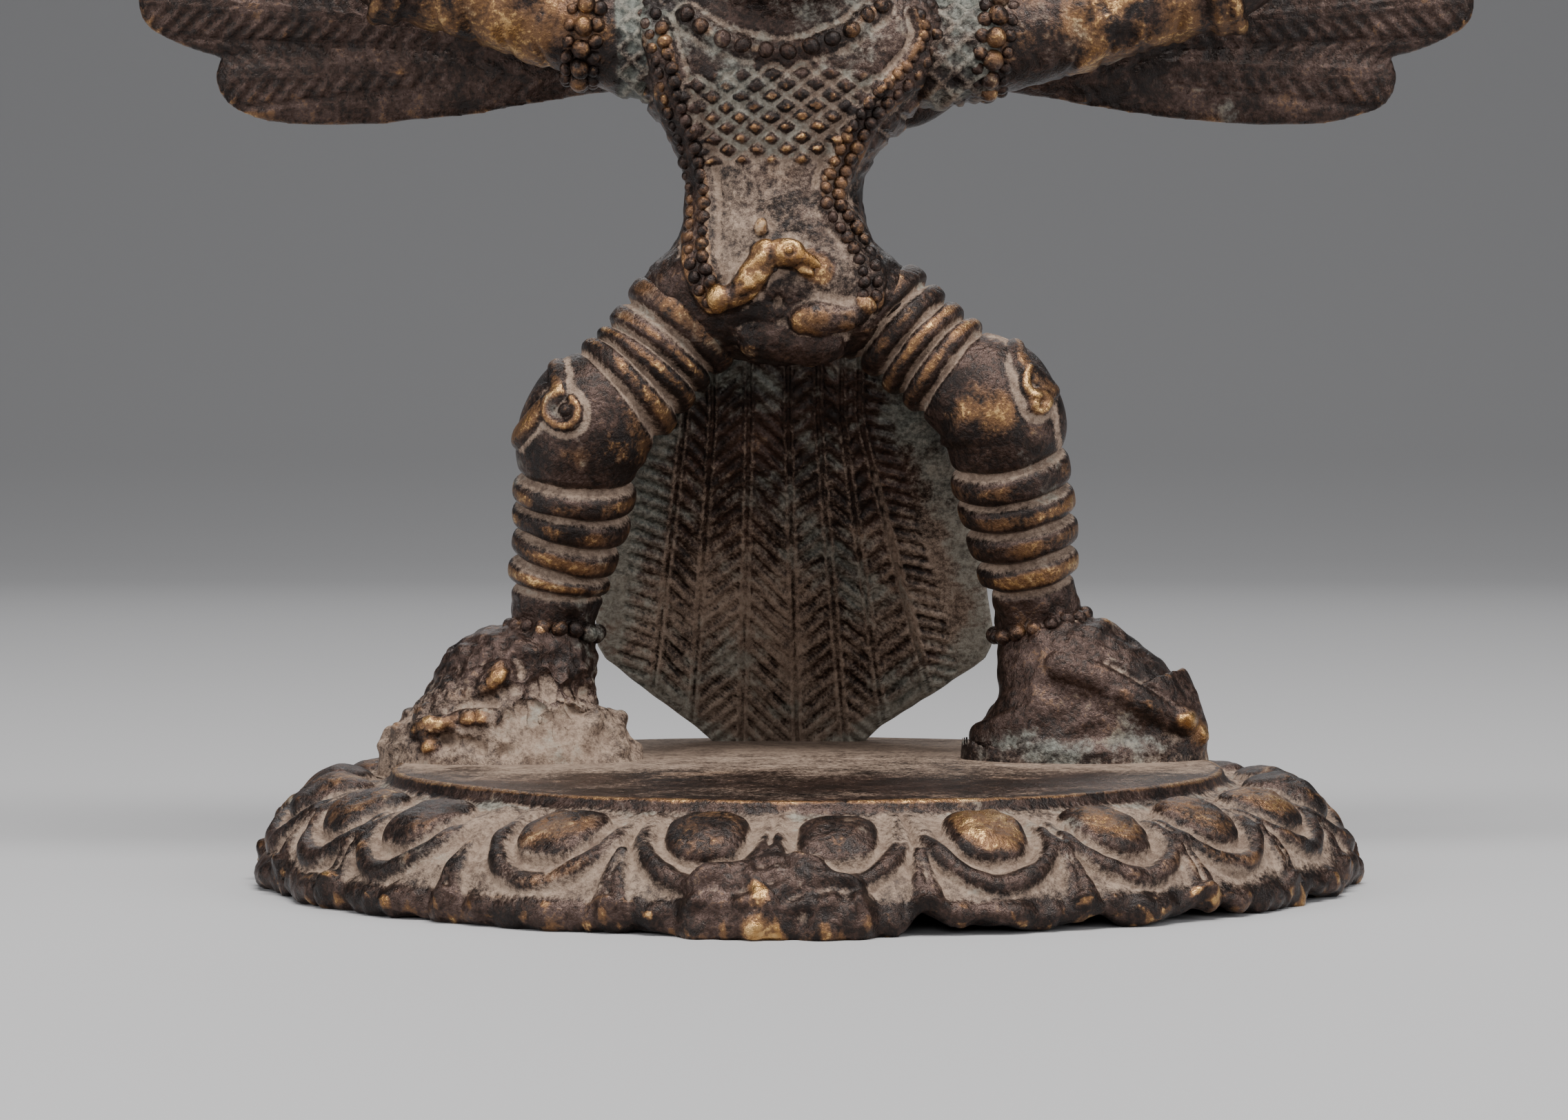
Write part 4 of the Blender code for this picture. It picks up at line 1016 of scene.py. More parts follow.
# %% Press the shoulder net and the plumes
def press_arm(piece, side, drop):
    co = read_points(piece)
    no = read_normals(piece)
    out, z = side * co[:, 0], co[:, 2] + drop
    u, v = (0.85 * out + z) / 2.5, (0.85 * out - z) / 2.5
    line = np.minimum(np.abs(u - np.round(u)), np.abs(v - np.round(v)))
    shoulder = ease(12.0, 14.0, out) * (1 - ease(20.5, 21.5, out))
    upper_arm = ease(27.0, 29.0, out) * (1 - ease(42.0, 44.0, out))
    bow = (out + 0.05 * (z - 95.0) ** 2) / 3.4
    scallop = np.abs(bow - np.round(bow))
    lift = shoulder * (0.40 * (1 - ease(0.08, 0.26, line)) - 0.15)
    lift += upper_arm * (0.35 * ripple(co, 2.6, 35) - 0.30 * fade(scallop, 0.09))
    press(piece, lift + 0.10 * ripple(co, 1.2, 36), no)
    PAINT[piece.name] = {"dust_and_light": shoulder * (0.45 * (1 - ease(0.1, 0.3, line)) + 0.10),
                         "worn": 0.30 * upper_arm * ease(-0.4, 0.7, ripple(co, 4.5, 37)) - 0.2 * shoulder,
                         "damp": 0.40 * shoulder}


press_arm(left_arm, -1, 0.0)
press_arm(right_arm, 1, 1.2)
print("the shoulder net and the plumes are pressed on", left_arm.name, "and", right_arm.name)

# %% [markdown]
# ## Head
# The photograph stops at the neck. The head is a traditional bird face of our own: round eyes under flaming
# brows, a short hooked beak, leaf-shaped ears, a five-leaved crown and hair drawn up in a knot.

# %% Shape the head
def head_bits():
    cx = -2.2
    bits = [pebble("skull", (cx, 7.2, 108.0), (10.0, 10.2, 10.6), sides=48, rings=32),
            pebble("chin", (cx, 2.4, 101.4), (6.4, 5.4, 4.6), sides=32, rings=24),
            roll("beak", [(cx, 1.5, 108.8, 3.6), (cx, -3.2, 107.8, 3.5), (cx, -7.2, 105.6, 2.7),
                          (cx, -9.0, 102.8, 1.5), (cx, -8.9, 100.8, 0.7)], 40, 50, front=(0, 0, 1)),
            roll("lower_beak", [(cx, 0.5, 102.6, 3.0), (cx, -3.8, 102.2, 2.3), (cx, -6.6, 101.8, 1.2)],
                 32, 30, front=(0, 0, 1)),
            roll("hair_knot", [(cx, 9.5, 117.0, 7.4), (cx, 9.8, 122.0, 6.6), (cx, 9.8, 127.5, 5.0),
                               (cx, 9.8, 131.5, 4.4), (cx, 9.8, 135.5, 3.2), (cx, 9.8, 139.0, 1.4)], 48, 70,
                 relief=lambda along, angle: 0.35 * np.abs(np.sin(angle * 6 + along * 0.35))),
            bangle("crown_band", (cx, 8.4, 114.6), (0, 0.08, 1), 9.3, 1.5),
            bangle("crown_band_low", (cx, 8.2, 112.4), (0, 0.08, 1), 9.7, 0.9)]
    for side in (-1, 1):
        bits += [
            pebble(f"eye_{side}", (cx + side * 4.5, -0.6, 109.6), (2.5, 1.9, 2.3), sides=32, rings=24),
            pebble(f"cheek_{side}", (cx + side * 5.6, 0.6, 104.6), (3.0, 2.9, 2.8), sides=32, rings=24),
            pebble(f"nostril_{side}", (cx + side * 1.9, -4.2, 108.6), (0.9, 1.2, 0.9)),
            roll(f"brow_{side}", [(cx + side * 1.0, -2.6, 111.4, 0.9), (cx + side * 3.2, -2.4, 113.0, 1.2),
                                  (cx + side * 6.2, -0.8, 113.2, 1.3), (cx + side * 8.8, 2.2, 112.0, 1.0),
                                  (cx + side * 9.6, 3.6, 113.6, 0.6)], 24, 50),
            roll(f"jaw_line_{side}", [(cx + side * 8.4, 3.0, 108.0, 1.2), (cx + side * 7.8, 0.4, 103.6, 1.2),
                                      (cx + side * 5.2, -1.6, 100.6, 1.1),
                                      (cx + side * 2.0, -2.4, 99.2, 0.9)], 24, 50),
            roll(f"ear_{side}", [(cx + side * 9.8, 8.0, 103.6, 1.3), (cx + side * 11.4, 8.2, 107.0, 2.2),
                                 (cx + side * 12.0, 8.4, 111.0, 2.0), (cx + side * 12.6, 8.6, 115.4, 0.7)],
                 24, 40, flat=0.6),
            pebble(f"ear_drop_{side}", (cx + side * 10.6, 7.6, 101.2), (1.7, 1.4, 1.9)),
        ]
    for turn, tall in ((0, 1.0), (33, 0.92), (-33, 0.92), (68, 0.84), (-68, 0.84)):
        t = math.radians(turn)
        x, y = cx + 9.4 * math.sin(t), 8.4 - 9.4 * math.cos(t)
        lean = 0.16
        leaf = [(x + lean * math.sin(t) * out, y - lean * math.cos(t) * out, z, half) for out, z, half in
                ((0, 113.5, 2.0), (2, 117.5, 2.9 * tall), (6, 121.0 + (tall - 1) * 8, 2.0 * tall),
                 (9, 124.8 + (tall - 1) * 14, 0.45))]
        facing = (math.sin(t), -math.cos(t), 0.0)
        bits.append(roll(f"crown_leaf_{turn}", leaf, 28, 44, flat=0.42, front=facing))
        gem = (x + 0.9 * math.sin(t), y - 0.9 * math.cos(t), 117.2)
        bits.append(pebble(f"crown_gem_{turn}", gem, (1.0, 1.0, 1.3)))
    return bits

# %% Fuse the head and press its eyes, hair and mouth
head = fuse("head", head_bits(), 0.34, 2)
co = read_points(head)
no = read_normals(head)
lift = np.zeros(len(co))
for side in (-1, 1):
    ring = np.hypot(co[:, 0] - (-2.2 + side * 4.5), co[:, 2] - 109.6)
    in_front = (co[:, 1] < 2.5) * 1.0
    lift += in_front * (-0.35 * fade(ring - 1.15, 0.28) + 0.25 * fade(ring - 2.5, 0.35))
hair = ease(116.0, 117.5, co[:, 2]) * ease(1.5, 3.5, co[:, 1])
strands = np.sin(np.arctan2(co[:, 0] + 2.2, co[:, 1] - 9.8) * 22)
back_hair = ease(-0.2, 0.4, no[:, 1]) * ease(98, 100, co[:, 2]) * (1 - ease(111, 112.5, co[:, 2]))
lift += 0.22 * strands * hair + 0.28 * np.sin(np.arctan2(co[:, 0] + 2.2, 30) * 300) * back_hair
mouth = np.abs(co[:, 2] - (103.6 - 0.12 * (co[:, 1] + 2))) + (co[:, 1] > 2.0) * 9
lift += -0.5 * fade(mouth, 0.4) * (co[:, 1] < 0.5)
press(head, lift + 0.12 * ripple(co, 2.6, 62), no)

# %% Fuse the trunk
trunk = fuse("trunk", [trunk, neck] + serpent, 0.27, 2)

# %% [markdown]
# Chest feathers are cut as a net of lozenges with dusty lines between dark pads. The lower rows have a
# small bead in each lozenge. Plain borders run beside the garlands, and the belly between them is bare.

# %% Press the chest and the belly
GARLAND_LEFT = [(-17.9, 94.6), (-16.6, 92.3), (-16.1, 90.0), (-15.6, 88.4), (-15.2, 86.2), (-14.7, 84.1),
                (-14.0, 82.0), (-13.2, 80.2), (-12.8, 78.4), (-12.5, 76.7), (-12.1, 74.9), (-12.0, 73.2),
                (-12.0, 71.4), (-12.1, 69.3), (-12.1, 67.3), (-11.6, 65.2), (-10.9, 63.6), (-10.2, 62.6)]
GARLAND_RIGHT = [(12.6, 94.4), (13.4, 92.6), (13.3, 90.8), (12.5, 89.3), (11.4, 87.5), (9.6, 85.8),
                 (8.0, 84.3), (6.4, 82.3), (5.3, 80.5), (4.4, 78.9), (3.7, 77.4), (3.0, 75.6),
                 (2.7, 74.3), (2.9, 72.8),
                 (3.7, 71.5), (4.8, 70.0), (5.7, 68.4), (6.4, 66.8), (6.9, 64.8), (6.7, 62.8)]
BORDER_LEFT = [(-15.4, 93.0), (-14.8, 90.8), (-14.2, 88.6), (-13.5, 86.0), (-12.8, 83.5), (-11.9, 81.2),
               (-11.2, 79.1), (-10.8, 77.0), (-10.5, 74.6), (-10.4, 71.8), (-10.5, 69.0), (-10.4, 66.8),
               (-9.6, 64.9)]
BORDER_RIGHT = [(11.4, 93.8), (12.0, 92.1), (11.7, 90.3), (10.4, 88.4), (7.9, 85.6), (5.3, 83.0), (3.8, 81.0),
                (3.0, 79.4), (2.2, 77.1), (1.6, 75.6)]
NECKLACE = [(-13.1, 93.6), (-11.6, 92.2), (-9.2, 90.8), (-7.0, 90.1), (-4.5, 89.6), (-2.1, 89.4), (0.4, 90.0),
            (2.7, 90.8), (4.8, 91.8), (6.5, 93.4), (8.0, 94.4)]

print("the garlands hang from", max(z for _, z in GARLAND_LEFT), "to", min(z for _, z in GARLAND_LEFT), "mm")

# %% Find what lies between the garlands
co = read_points(trunk)
no = read_normals(trunk)
front = ease(0.0, 0.45, -no[:, 1])
x, z = co[:, 0], co[:, 2]
left_line, right_line = draw_line(GARLAND_LEFT, 90), draw_line(GARLAND_RIGHT, 90)
from_left = off_line(co, left_line)
from_right = off_line(co, right_line)
left_edge = np.interp(z, left_line[::-1, 1], left_line[::-1, 0])
right_edge = np.interp(z, right_line[::-1, 1], right_line[::-1, 0])
within = ease(0.6, 1.6, x - left_edge) * ease(0.6, 1.6, right_edge - x)
outside = 1 - ease(-2.6, -1.6, x - left_edge) * ease(-2.6, -1.6, right_edge - x)
print("the net and the belly have", int((within > 0.5).sum()), "points")

# %% Press the net of feathers
NET_PITCH, NET_LEAN = 2.35, 0.72
net_u = ((x + 2.2) * NET_LEAN + (z - 80.0)) / NET_PITCH + 0.12 * ripple(co, 5.0, 71)
net_v = (-(x + 2.2) * NET_LEAN + (z - 80.0)) / NET_PITCH + 0.12 * ripple(co, 5.0, 72)
near_line = np.minimum(np.abs(net_u - np.round(net_u)), np.abs(net_v - np.round(net_v)))
pad = ease(0.06, 0.30, near_line)
net_zone = (within * ease(77.0, 78.6, z + 0.10 * np.abs(x + 3.5))
            * (1 - ease(88.0, 89.0, z + 0.16 * np.abs(x + 2))))
tip = np.hypot((net_u - np.floor(net_u)) - 0.5, (net_v - np.floor(net_v)) - 0.62)
tipped = ease(76.6, 77.4, z) * (1 - ease(82.0, 83.0, z))
lift = net_zone * front * (0.55 * pad - 0.30 + 0.45 * bulge(tip, 0.26) * tipped)
wide_u = ((np.abs(x + 2.2)) * 0.55 + z) / 3.1
wide_v = ((np.abs(x + 2.2)) * -0.75 + z) / 3.1
wide_line = np.minimum(np.abs(wide_u - np.round(wide_u)), np.abs(wide_v - np.round(wide_v)))
lift += outside * ease(76.0, 78.0, z) * (0.45 * ease(0.05, 0.24, wide_line) - 0.22)
print("the net has lozenges", round(NET_PITCH / NET_LEAN, 1), "mm wide")

# %% Press the borders, the collar and the serpent's eye
for border in (BORDER_LEFT, BORDER_RIGHT):
    gap = off_line(co, draw_line(border, 70))
    lift += front * (0.30 * fade(gap, 0.34) - 0.25 * fade(gap - 0.75, 0.3))
for gap in (from_left, from_right):
    lift += front * 0.55 * (1 - ease(1.2, 1.9, gap))
collar = off_line(co, draw_line(NECKLACE, 60))
lift += front * (0.30 * fade(collar, 0.9) - 0.35 * fade(collar - 1.6, 0.5))
pit = np.hypot(x + 3.2, z - 62.2)
lift += -1.1 * fade(pit, 0.65) * front
eye = np.hypot(x + 1.9, z - 67.9)
lift += front * (-0.45 * fade(eye - 0.66, 0.2) + 0.25 * fade(eye, 0.3))
on_neck = blob(co, -6.4, 64.4, 2.6, 2.2)
lift += front * on_neck * 0.22 * ripple(co, 0.9, 75)
lift += 0.14 * ripple(co, 2.4, 73) + 0.08 * ripple(co, 1.0, 74)
press(trunk, lift, no)
print("the relief of the trunk lies between", np.round([lift.min(), lift.max()], 2), "mm")

# %% Say where the trunk is dusty and worn
bare_belly = front * (1 - ease(77.0, 79.0, z)) * ease(57.0, 60.0, z) * ease(0.5, 1.5, x - left_edge)
serpent_line = draw_line([(-10.6, 62.6), (-8.8, 62.7), (-7.4, 63.4), (-6.3, 64.6), (-5.3, 66.1), (-4.4, 67.4),
                          (-2.6, 67.7), (-0.6, 66.8), (1.4, 66.0)], 50)
from_serpent = off_line(co, serpent_line)
on_serpent = (1 - ease(1.2, 2.0, from_serpent)) * (z < 70.0) * front
left_of = blob(co, -8.0, 70.0, 3.2, 9.0)
below = blob(co, -4.0, 60.5, 8.0, 3.5)
PAINT["trunk"] = {
    "dust_and_light": front * (0.27 * bare_belly + 0.22 * left_of + 0.20 * blob(co, 3.0, 65.5, 3.5, 4.5)
                      + net_zone * (0.42 - 0.66 * pad) + 0.12 * ease(84, 90, z) - 0.35 * below)
             - 0.95 * on_serpent,
    "worn": on_serpent * (0.30 + 0.12 * ripple(co, 1.2, 76)) + 0.12 * blob(co, -4.0, 72.0, 4.0, 4.0)
            - 0.2 * ease(84, 90, z)
            - 0.22 * net_zone + 0.24 * net_zone * bulge(tip, 0.14) * tipped,
    "damp": 0.25 * blob(co, 4.0, 65.0, 4.0, 5.0) + 0.20 * ease(86, 92, z) - 0.2 * bare_belly
            + 0.26 * net_zone * (1 - pad)}

# %% [markdown]
# ## Beads
# A wax caster rolls small beads and sets them one by one. Each bead is one small sphere, copied along a
# line with its own mesh. They keep their crisp round shape because they aren't fused.

# %% One bead, copied along a line
def string_beads(name, places, seed):
    """Small spheres at (x, y, z, radius), joined into one piece."""
    rng = np.random.default_rng(seed)
    beads = []
    for i, (x, y, z, r) in enumerate(places):
        radii = tuple(r * rng.uniform(0.9, 1.1, 3))
        beads.append(pebble(f"{name}_{i}", (x, y, z), radii, rng.uniform(0, 3), 12, 8))
    pick(*beads)
    bpy.ops.object.join()
    piece = bpy.context.object
    piece.name = piece.data.name = name
    return piece


def along_line(line, pitch, aside, radius, out, seed, start=0.0):
    """Bead places at that pitch along a line on the trunk, moved sideways by aside."""
    rng = np.random.default_rng(seed)
    walked = np.concatenate([[0], np.cumsum(np.hypot(*np.diff(line, axis=0).T))])
    places = []
    for s in np.arange(start, walked[-1], pitch):
        x, z = (np.interp(s, walked, column) for column in line.T)
        x2, z2 = (np.interp(s + 0.3, walked, column) for column in line.T)
        run = math.hypot(x2 - x, z2 - z) or 1.0
        x, z = x + aside * (z2 - z) / run, z - aside * (x2 - x) / run
        r = radius * rng.uniform(0.88, 1.12)
        places.append((x, float(skin_front(x, z)) - out, z, r))
    return places

# %% String the garlands and the necklace
garland_beads = []
for line, sign, seed in ((left_line, 1, 81), (right_line, 1, 83)):
    garland_beads += along_line(line, 1.50, -0.72 * sign, 0.80, 0.62, seed)
    garland_beads += along_line(line, 1.42, 0.72 * sign, 0.72, 0.55, seed + 1, 0.6)
neck_edge = draw_line([(-9.0, 61.7), (-7.2, 62.3), (-6.0, 63.4), (-4.8, 64.9), (-3.6, 66.0)], 30)
garland_beads += along_line(neck_edge, 1.0, 0.0, 0.48, 0.9, 85)
garlands = string_beads("garlands", garland_beads, 86)
necklace = string_beads("necklace", [(x, float(skin_front(x, z)) - 0.35, z, 0.95) for x, z in NECKLACE], 87)

# %% Ring the ankles and the arms with beads
def ring_of_beads(centre, across, deep, radius, count, start, stop, tilt, seed):
    rng = np.random.default_rng(seed)
    places = []
    for i in range(count):
        t = math.radians(start + (stop - start) * i / (count - 1))
        places.append((centre[0] + across * math.sin(t), centre[1] - deep * math.cos(t),
                       centre[2] + tilt * math.sin(t) + rng.uniform(-0.25, 0.25),
                       radius * rng.uniform(0.85, 1.15)))
    return places


anklets = string_beads("anklets", ring_of_beads((-28.2, 11.5, 26.4), 4.9, 4.9, 0.95, 16, -165, 165, -0.4, 88)
                       + ring_of_beads((26.0, 12.5, 26.6), 5.0, 5.0, 0.95, 16, -165, 165, 1.2, 90), 92)
armlet_places = []
for side, x, z0 in ((-1, -24.2, 92.4), (1, 20.4, 91.2)):
    for column, r, deep in ((-1.3, 0.85, 5.55), (0.2, 1.15, 5.75), (1.7, 0.75, 5.4)):
        step = 25 if r > 1 else 19
        for turn in range(-150, 151, step):
            t = math.radians(turn)
            armlet_places.append((x + side * column + 0.7 * math.sin(t), 9.5 - deep * math.cos(t),
                                  z0 + deep * math.sin(t), r))
armlets = string_beads("armlets", armlet_places, 93)

# %% [markdown]
# ## Tail
# The tail is a thin cast plate behind the legs that reaches down to the platform. It is shaped from a sphere
# whose rings become flat strips from side to side, so its front and its back both get an even grid.
# Its feathers are strips between shafts, with barbs that slant one way and then the other.

# %% Make a thin plate from a sphere
TAIL_EDGES = np.array([(9.5, -9.0, 5.0), (11.5, -10.5, 6.5), (13.7, -12.8, 8.8), (17.5, -17.8, 14.6),
                       (21.9, -23.2, 20.8), (23.5, -24.1, 21.5), (25.4, -24.3, 21.6), (29.0, -24.0, 21.0),
                       (33.4, -23.3, 20.2), (39.2, -21.6, 18.7), (44.1, -19.4, 17.0), (49.5, -16.4, 14.2),
                       (54.6, -13.4, 11.0), (59.0, -10.6, 8.0)])


def tail_depth(z):
    return 38.0 - (z - 12.4) * 0.50 - 0.0022 * (z - 12.4) ** 2


def flat_blade(name, rings, sides, place):
    """A thin closed plate: place(t, u, face) gives points for t along and u across, face -1 front, 1 back."""
    deselect()
    bpy.ops.mesh.primitive_uv_sphere_add(segments=sides, ring_count=rings, radius=1.0)
    piece = bpy.context.object
    piece.name = piece.data.name = name
    unit = read_points(piece) * MM
    t = 1 - np.arccos(np.clip(unit[:, 2], -1, 1)) / math.pi
    turn = (np.arctan2(unit[:, 1], unit[:, 0]) / (2 * math.pi)) % 1.0
    u = np.where(turn < 0.5, 1 - 4 * turn, 4 * turn - 3)
    face = np.where(turn < 0.5, 1.0, -1.0)
    face[np.abs(np.abs(u) - 1) < 1e-6] = 0.0
    write_points(piece, place(t, u, face))
    face_out(piece)
    return piece

# %% Measure the feathers of the tail
STRIPS_LOW = [-17.6, -12.9, -7.3, -1.2, 3.9, 8.3, 14.0, 18.6]
STRIPS_HIGH = [-15.8, -11.8, -6.9, -1.6, 2.7, 6.3, 10.3, 14.6]
STRIP_LEVELS = (19.4, 33.3)
BARB_SLANTS = [0.35, 0.95, -0.85, 0.95, -0.8, 0.85, -0.75, 0.25]


def tail_relief(x, z):
    bend = (z - STRIP_LEVELS[0]) / (STRIP_LEVELS[1] - STRIP_LEVELS[0])
    shafts = np.array([low + (high - low) * np.clip(bend, -0.6, 2.2)
                       for low, high in zip(STRIPS_LOW, STRIPS_HIGH)])
    lift = np.zeros_like(x)
    for i, slant in enumerate(BARB_SLANTS):
        left = shafts[i - 1] if i else shafts[0] - 5.0
        right = shafts[i] if i < len(shafts) else shafts[-1] + 4
        inside = ease(0.35, 0.9, x - left) * ease(0.35, 0.9, right - x)
        pitch = 1.95 if abs(slant) > 0.5 else 1.45
        wave = np.sin(2 * math.pi * (z + slant * (x - left)) / pitch)
        lift += inside * 0.22 * np.clip(wave * 1.6, -1, 1)
    for shaft in shafts[:-1]:
        gap = np.abs(x - shaft)
        lift += 0.40 * fade(gap - 0.42, 0.22) - 0.12 * fade(gap, 0.18)
    return lift

# %% Shape the tail
def place_tail(t, u, face):
    z = 9.5 + 49.5 * np.clip((t - 0.01) / 0.98, 0, 1)
    low, high = (np.interp(z, TAIL_EDGES[:, 0], TAIL_EDGES[:, i]) for i in (1, 2))
    x = 0.5 * (low + high) + 0.5 * (high - low) * u
    thick = 1.45 * np.sqrt(np.clip(1 - np.abs(u) ** 14, 0, 1)) * np.abs(face)
    marks = tail_relief(x, z) * ease(0.0, 0.05, 1 - np.abs(u))
    shape = 0.30 * ripple(np.column_stack([x, 0 * x, z]), 9.0, 101)
    y = tail_depth(z) - 0.0028 * x ** 2 + shape + face * (thick + marks * (thick > 0.5))
    return np.column_stack([x, y, z + 0 * x])


tail = flat_blade("tail", 190, 300, place_tail)
co = read_points(tail)
crack_line = draw_line([(7.6, 44.0), (9.2, 38.0), (10.3, 33.0), (12.0, 26.0), (13.6, 21.0)], 30)
crack = off_line(co, crack_line)
press(tail, -0.6 * fade(crack, 0.3) + 0.06 * ripple(co, 1.6, 102))
# %% Say where the tail is dusty and worn, and paint light and shade on it
edge_low, edge_high = (np.interp(co[:, 2], TAIL_EDGES[:, 0], TAIL_EDGES[:, i]) for i in (1, 2))
near_edge = 1 - ease(0.5, 7.0, np.minimum(co[:, 0] - edge_low, edge_high - co[:, 0]))
cut = tail_relief(co[:, 0], co[:, 2])
PAINT["tail"] = {
    # Over the whole tail the pale dust layer is raised, most of all low down: partly real dust, partly
    # painted light on a plate that stands behind the legs, away from the lamps.
    "dust_and_light": 0.16 + 0.44 * (1 - ease(26.0, 56.0, co[:, 2])) + 0.26 * near_edge
             + 0.35 * (1 - ease(12.0, 18.0, co[:, 2])) - 0.16 * ease(44.0, 54.0, co[:, 2])
             + 0.10 * ripple(co, 8.0, 103)
             # Raised barbs and shafts get more of the pale layer and the grooves between them less: painted
             # light on the ridges and painted shade in the grooves.
             + 0.24 * ease(0.20, 0.34, cut) - 0.40 * ease(0.02, 0.12, -cut),
    "worn": 0.08 * ease(0.02, 0.12, cut) * ease(14, 22, co[:, 2]) * (1 - ease(40, 52, co[:, 2]))
            - 0.2 * near_edge,
    "damp": 0.38 * near_edge + 0.10 + 0.10 * ripple(co, 6.0, 104)}
print("the tail has", len(tail.data.polygons), "faces")

# %% [markdown]
# ## Wings
# Each wing is a fan of long feathers that overlap, with shorter ones over their roots. A feather is a flat
# roll. The feathers are fused, and then their shafts and barbs are pressed in, feather by feather, from
# each point's place in the fan.

# %% Shape the wings
ROOT_X, ROOT_Y, ROOT_Z = 12.0, 17.2, 90.0
FEATHERS, FEATHER_STEP = 7, 8.3


def feather_turn(k):
    return np.radians(-2.0 + FEATHER_STEP * k)


def feather_reach(k):
    return 54.5 + 10.4 * k - 1.37 * k * k


def wing_bits(name, side):
    """The loose feathers, the arm of the wing and its root."""
    bits = []
    for k in range(FEATHERS):
        turn, reach = feather_turn(k), feather_reach(k)
        c, s = math.cos(turn), math.sin(turn)
        run = []
        for share, half in ((0.0, 2.2), (0.25, 2.9), (0.5, 4.3), (0.75, 5.2), (0.9, 4.6), (1.0, 2.6)):
            d = reach * share
            droop = 1.2 * math.sin(math.pi * share)
            run.append((side * (ROOT_X + d * c + droop * s), ROOT_Y + 0.10 * (k - 3) + 0.8 * share ** 2,
                        ROOT_Z + d * s - droop * c, half))
        bits.append(roll(f"{name}_{k}", run, 40, 90, flat=0.32))
    for k in range(FEATHERS):
        turn = feather_turn(k) - math.radians(0.5)
        reach = feather_reach(k) * 0.46
        c, s = math.cos(turn), math.sin(turn)
        run = [(side * (ROOT_X + reach * share * c), ROOT_Y - 0.35, ROOT_Z + reach * share * s, half)
               for share, half in ((0.0, 3.0), (0.4, 3.2), (0.75, 3.4), (1.0, 2.0))]
        bits.append(roll(f"{name}_cover_{k}", run, 32, 50, flat=0.62))
    bits.append(roll(f"{name}_top_edge", [(side * (ROOT_X - 2), ROOT_Y, ROOT_Z + 4, 5.5),
                                          (side * (ROOT_X + 12), ROOT_Y, ROOT_Z + 13, 4.6),
                                          (side * (ROOT_X + 24), ROOT_Y, ROOT_Z + 25, 3.4),
                                          (side * (ROOT_X + 34), ROOT_Y + 0.4, ROOT_Z + 36, 2.4)],
                     40, 70, flat=0.5))
    bits.append(pebble(f"{name}_root", (side * (ROOT_X - 2.0), ROOT_Y - 2.2, ROOT_Z + 1.0), (9.0, 4.2, 9.0),
                       sides=40, rings=30))
    return bits


print("the longest feather is", round(max(feather_reach(k) for k in range(FEATHERS)), 1), "mm long")

# %% Press the feathers of a wing
def press_feathers(piece, side):
    """Shafts and barbs on the long feathers, and rows of scales nearer the root."""
    co = read_points(piece)
    no = read_normals(piece)
    dx, dz = side * co[:, 0] - ROOT_X, co[:, 2] - ROOT_Z
    out = np.hypot(dx, dz)
    turn = np.arctan2(dz, dx)
    step = math.radians(FEATHER_STEP)
    k = np.clip(np.rint((turn - feather_turn(0)) / step), 0, FEATHERS - 1)
    aside = out * np.sin(turn - feather_turn(k))
    reach = feather_reach(k)
    gap = 0.5 * out * step
    flat_face = ease(0.55, 0.8, np.abs(no[:, 1]))
    lined = flat_face * ease(27.0, 29.0, out) * (1 - ease(reach - 1.4, reach - 0.4, out))
    barbs = np.sin(2 * math.pi * (out - 0.9 * np.abs(aside)) / 1.9)
    inside = ease(0.5, 1.1, np.abs(aside)) * ease(0.15, 0.6, gap - np.abs(aside))
    lift = lined * (0.20 * np.clip(1.5 * barbs, -1, 1) * inside
                    + 0.35 * fade(np.abs(aside) - 0.42, 0.25)
                    - 0.40 * fade(gap - np.abs(aside), 0.35))
    scale_row = out / 4.4
    across = turn / step + 0.5 * (np.floor(scale_row) % 2)
    bow = scale_row - np.floor(scale_row) - 0.55 * (1 - (2 * (across - np.floor(across)) - 1) ** 2)
    scales = flat_face * (1 - ease(25.0, 27.0, out)) * ease(7.0, 9.0, out)
    lift += scales * (0.28 * fade(bow, 0.12) - 0.25 * fade(bow - 0.18, 0.10))
    press(piece, lift + 0.12 * ripple(co, 3.0, 111), no)


left_wing = fuse("left_wing", wing_bits("left_wing", -1), 0.38, 1)
right_wing = fuse("right_wing", wing_bits("right_wing", 1), 0.38, 1)
press_feathers(left_wing, -1)
press_feathers(right_wing, 1)

# %% [markdown]
# ## Finish every piece
# Each piece now gets its weathering marks, its smooth shading and its bronze. The numbers say how much
# more dusty, worn or green a piece is than the average, as seen on the old casting.

# %% Weather and hand over
# (piece, how many millimetres around a point count as its neighbourhood, more dust, more wear, more green)
PIECES = ((base, 1.5, 0.10, 0.02, 0.0), (left_leg, 1.2, 0.09, -0.02, 0.0), (right_leg, 1.2, 0.05, 0.0, 0.0),
          (trunk, 1.0, 0.14, 0.0, 0.0), (left_arm, 1.4, 0.06, 0.20, 0.0), (right_arm, 1.4, 0.05, 0.22, 0.0),
          (head, 1.2, 0.05, 0.06, 0.0), (tail, 0.9, 0.08, -0.08, 0.06),
          (left_wing, 1.1, -0.34, -0.09, -0.1), (right_wing, 1.1, -0.34, -0.09, -0.1),
          (garlands, 0.5, -0.05, 0.10, -0.1), (necklace, 0.5, 0.0, 0.0, -0.1),
          (anklets, 0.5, 0.12, 0.05, 0.0), (armlets, 0.5, 0.0, 0.12, 0.0))
for piece, reach, dust_and_light_cover, wear, green in PIECES:
    weather(piece, reach, dust_and_light_cover, wear, green, PAINT.get(piece.name, {}))
    hand_over(piece)
    print(piece.name, "has", sum(len(p.vertices) - 2 for p in piece.data.polygons), "triangles")

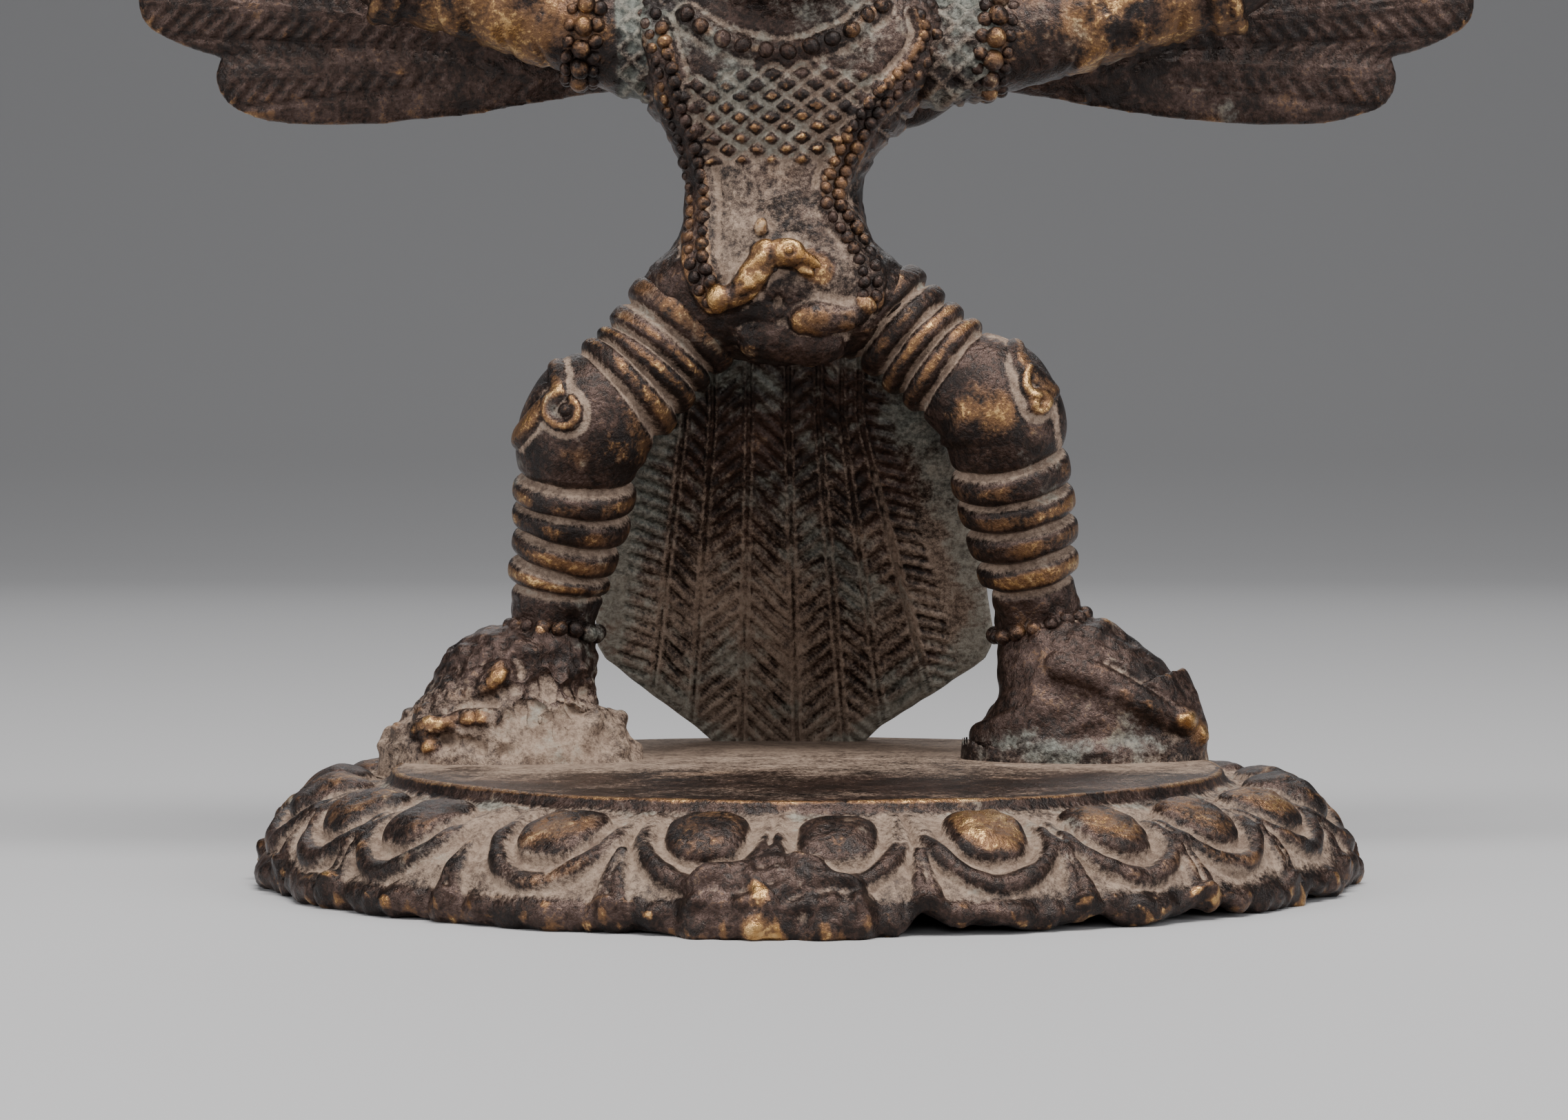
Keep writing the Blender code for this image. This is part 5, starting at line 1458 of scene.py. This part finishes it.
# %% [markdown]
# ## Floor, light and camera
# A sheet of plain pale paper lies on the table and rises behind in one smooth bend, so there is no horizon.
# The light is a soft studio: one wide lamp above and in front, a weaker one from each side, a low fill near
# the camera and a dim one behind. The camera stands where the photographer's stood: low, level with the
# thighs, and far enough for a long lens.

# %% Floor and background
deselect()
bpy.ops.mesh.primitive_grid_add(x_subdivisions=8, y_subdivisions=96, size=8.0, location=(0, 1.5, 0))
floor = bpy.context.object
floor.name = "floor"
bpy.ops.object.transform_apply(location=True, rotation=True, scale=True)
co = read_points(floor) * MM
START, BEND = 0.9, 1.1
past = np.clip(co[:, 1] - START, 0, None)
angle = np.clip(past / BEND, 0, math.pi / 2)
beyond = np.clip(past - BEND * math.pi / 2, 0, None)
co[:, 2] = BEND * (1 - np.cos(angle)) + beyond
co[:, 1] = np.minimum(co[:, 1], START) + BEND * np.sin(angle)
write_points(floor, co / MM)
pick(floor)
bpy.ops.object.shade_smooth()
paper = bpy.data.materials.new("pale_paper")
paper.use_nodes = True
paper.node_tree.nodes["Principled BSDF"].inputs["Base Color"].default_value = (0.40, 0.40, 0.41, 1)
paper.node_tree.nodes["Principled BSDF"].inputs["Roughness"].default_value = 0.85
floor.data.materials.append(paper)

world = bpy.data.worlds.new("studio")
bpy.context.scene.world = world
world.use_nodes = True
world.node_tree.nodes["Background"].inputs["Color"].default_value = (0.86, 0.88, 0.92, 1)
world.node_tree.nodes["Background"].inputs["Strength"].default_value = 0.20

# %% Lamps and camera
def soft_lamp(name, place, size, power, aim=(0, 0, 0.05), tint=(1, 1, 1)):
    lamp = bpy.data.lights.new(name, "AREA")
    lamp.shape = "RECTANGLE"
    lamp.size, lamp.size_y = size
    lamp.energy = power
    lamp.color = tint
    stand = bpy.data.objects.new(name, lamp)
    bpy.context.scene.collection.objects.link(stand)
    stand.location = place
    stand.rotation_euler = (Vector(aim) - Vector(place)).to_track_quat("-Z", "Y").to_euler()
    return stand


soft_lamp("top_soft", (0.05, -0.30, 0.80), (0.6, 0.35), 11.5, tint=(1.0, 0.98, 0.95))
soft_lamp("left_soft", (-0.75, -0.45, 0.35), (0.35, 0.6), 4.0)
soft_lamp("right_soft", (0.75, -0.45, 0.35), (0.35, 0.6), 4.0)
soft_lamp("front_fill", (0.0, -1.1, 0.35), (0.6, 0.3), 2.2)
soft_lamp("back_soft", (0.0, 0.8, 0.6), (0.8, 0.4), 2.0)

eye = bpy.data.cameras.new("camera")
eye.sensor_width = 36.0
eye.lens = 100.05
eye.clip_start = 0.01
camera = bpy.data.objects.new("camera", eye)
bpy.context.scene.collection.objects.link(camera)
camera.location = (-0.00254, -0.473, 0.0485)
camera.rotation_euler = (math.pi / 2 - 0.030, 0, 0)
bpy.context.scene.camera = camera

# %% Finish: deselect everything
deselect()
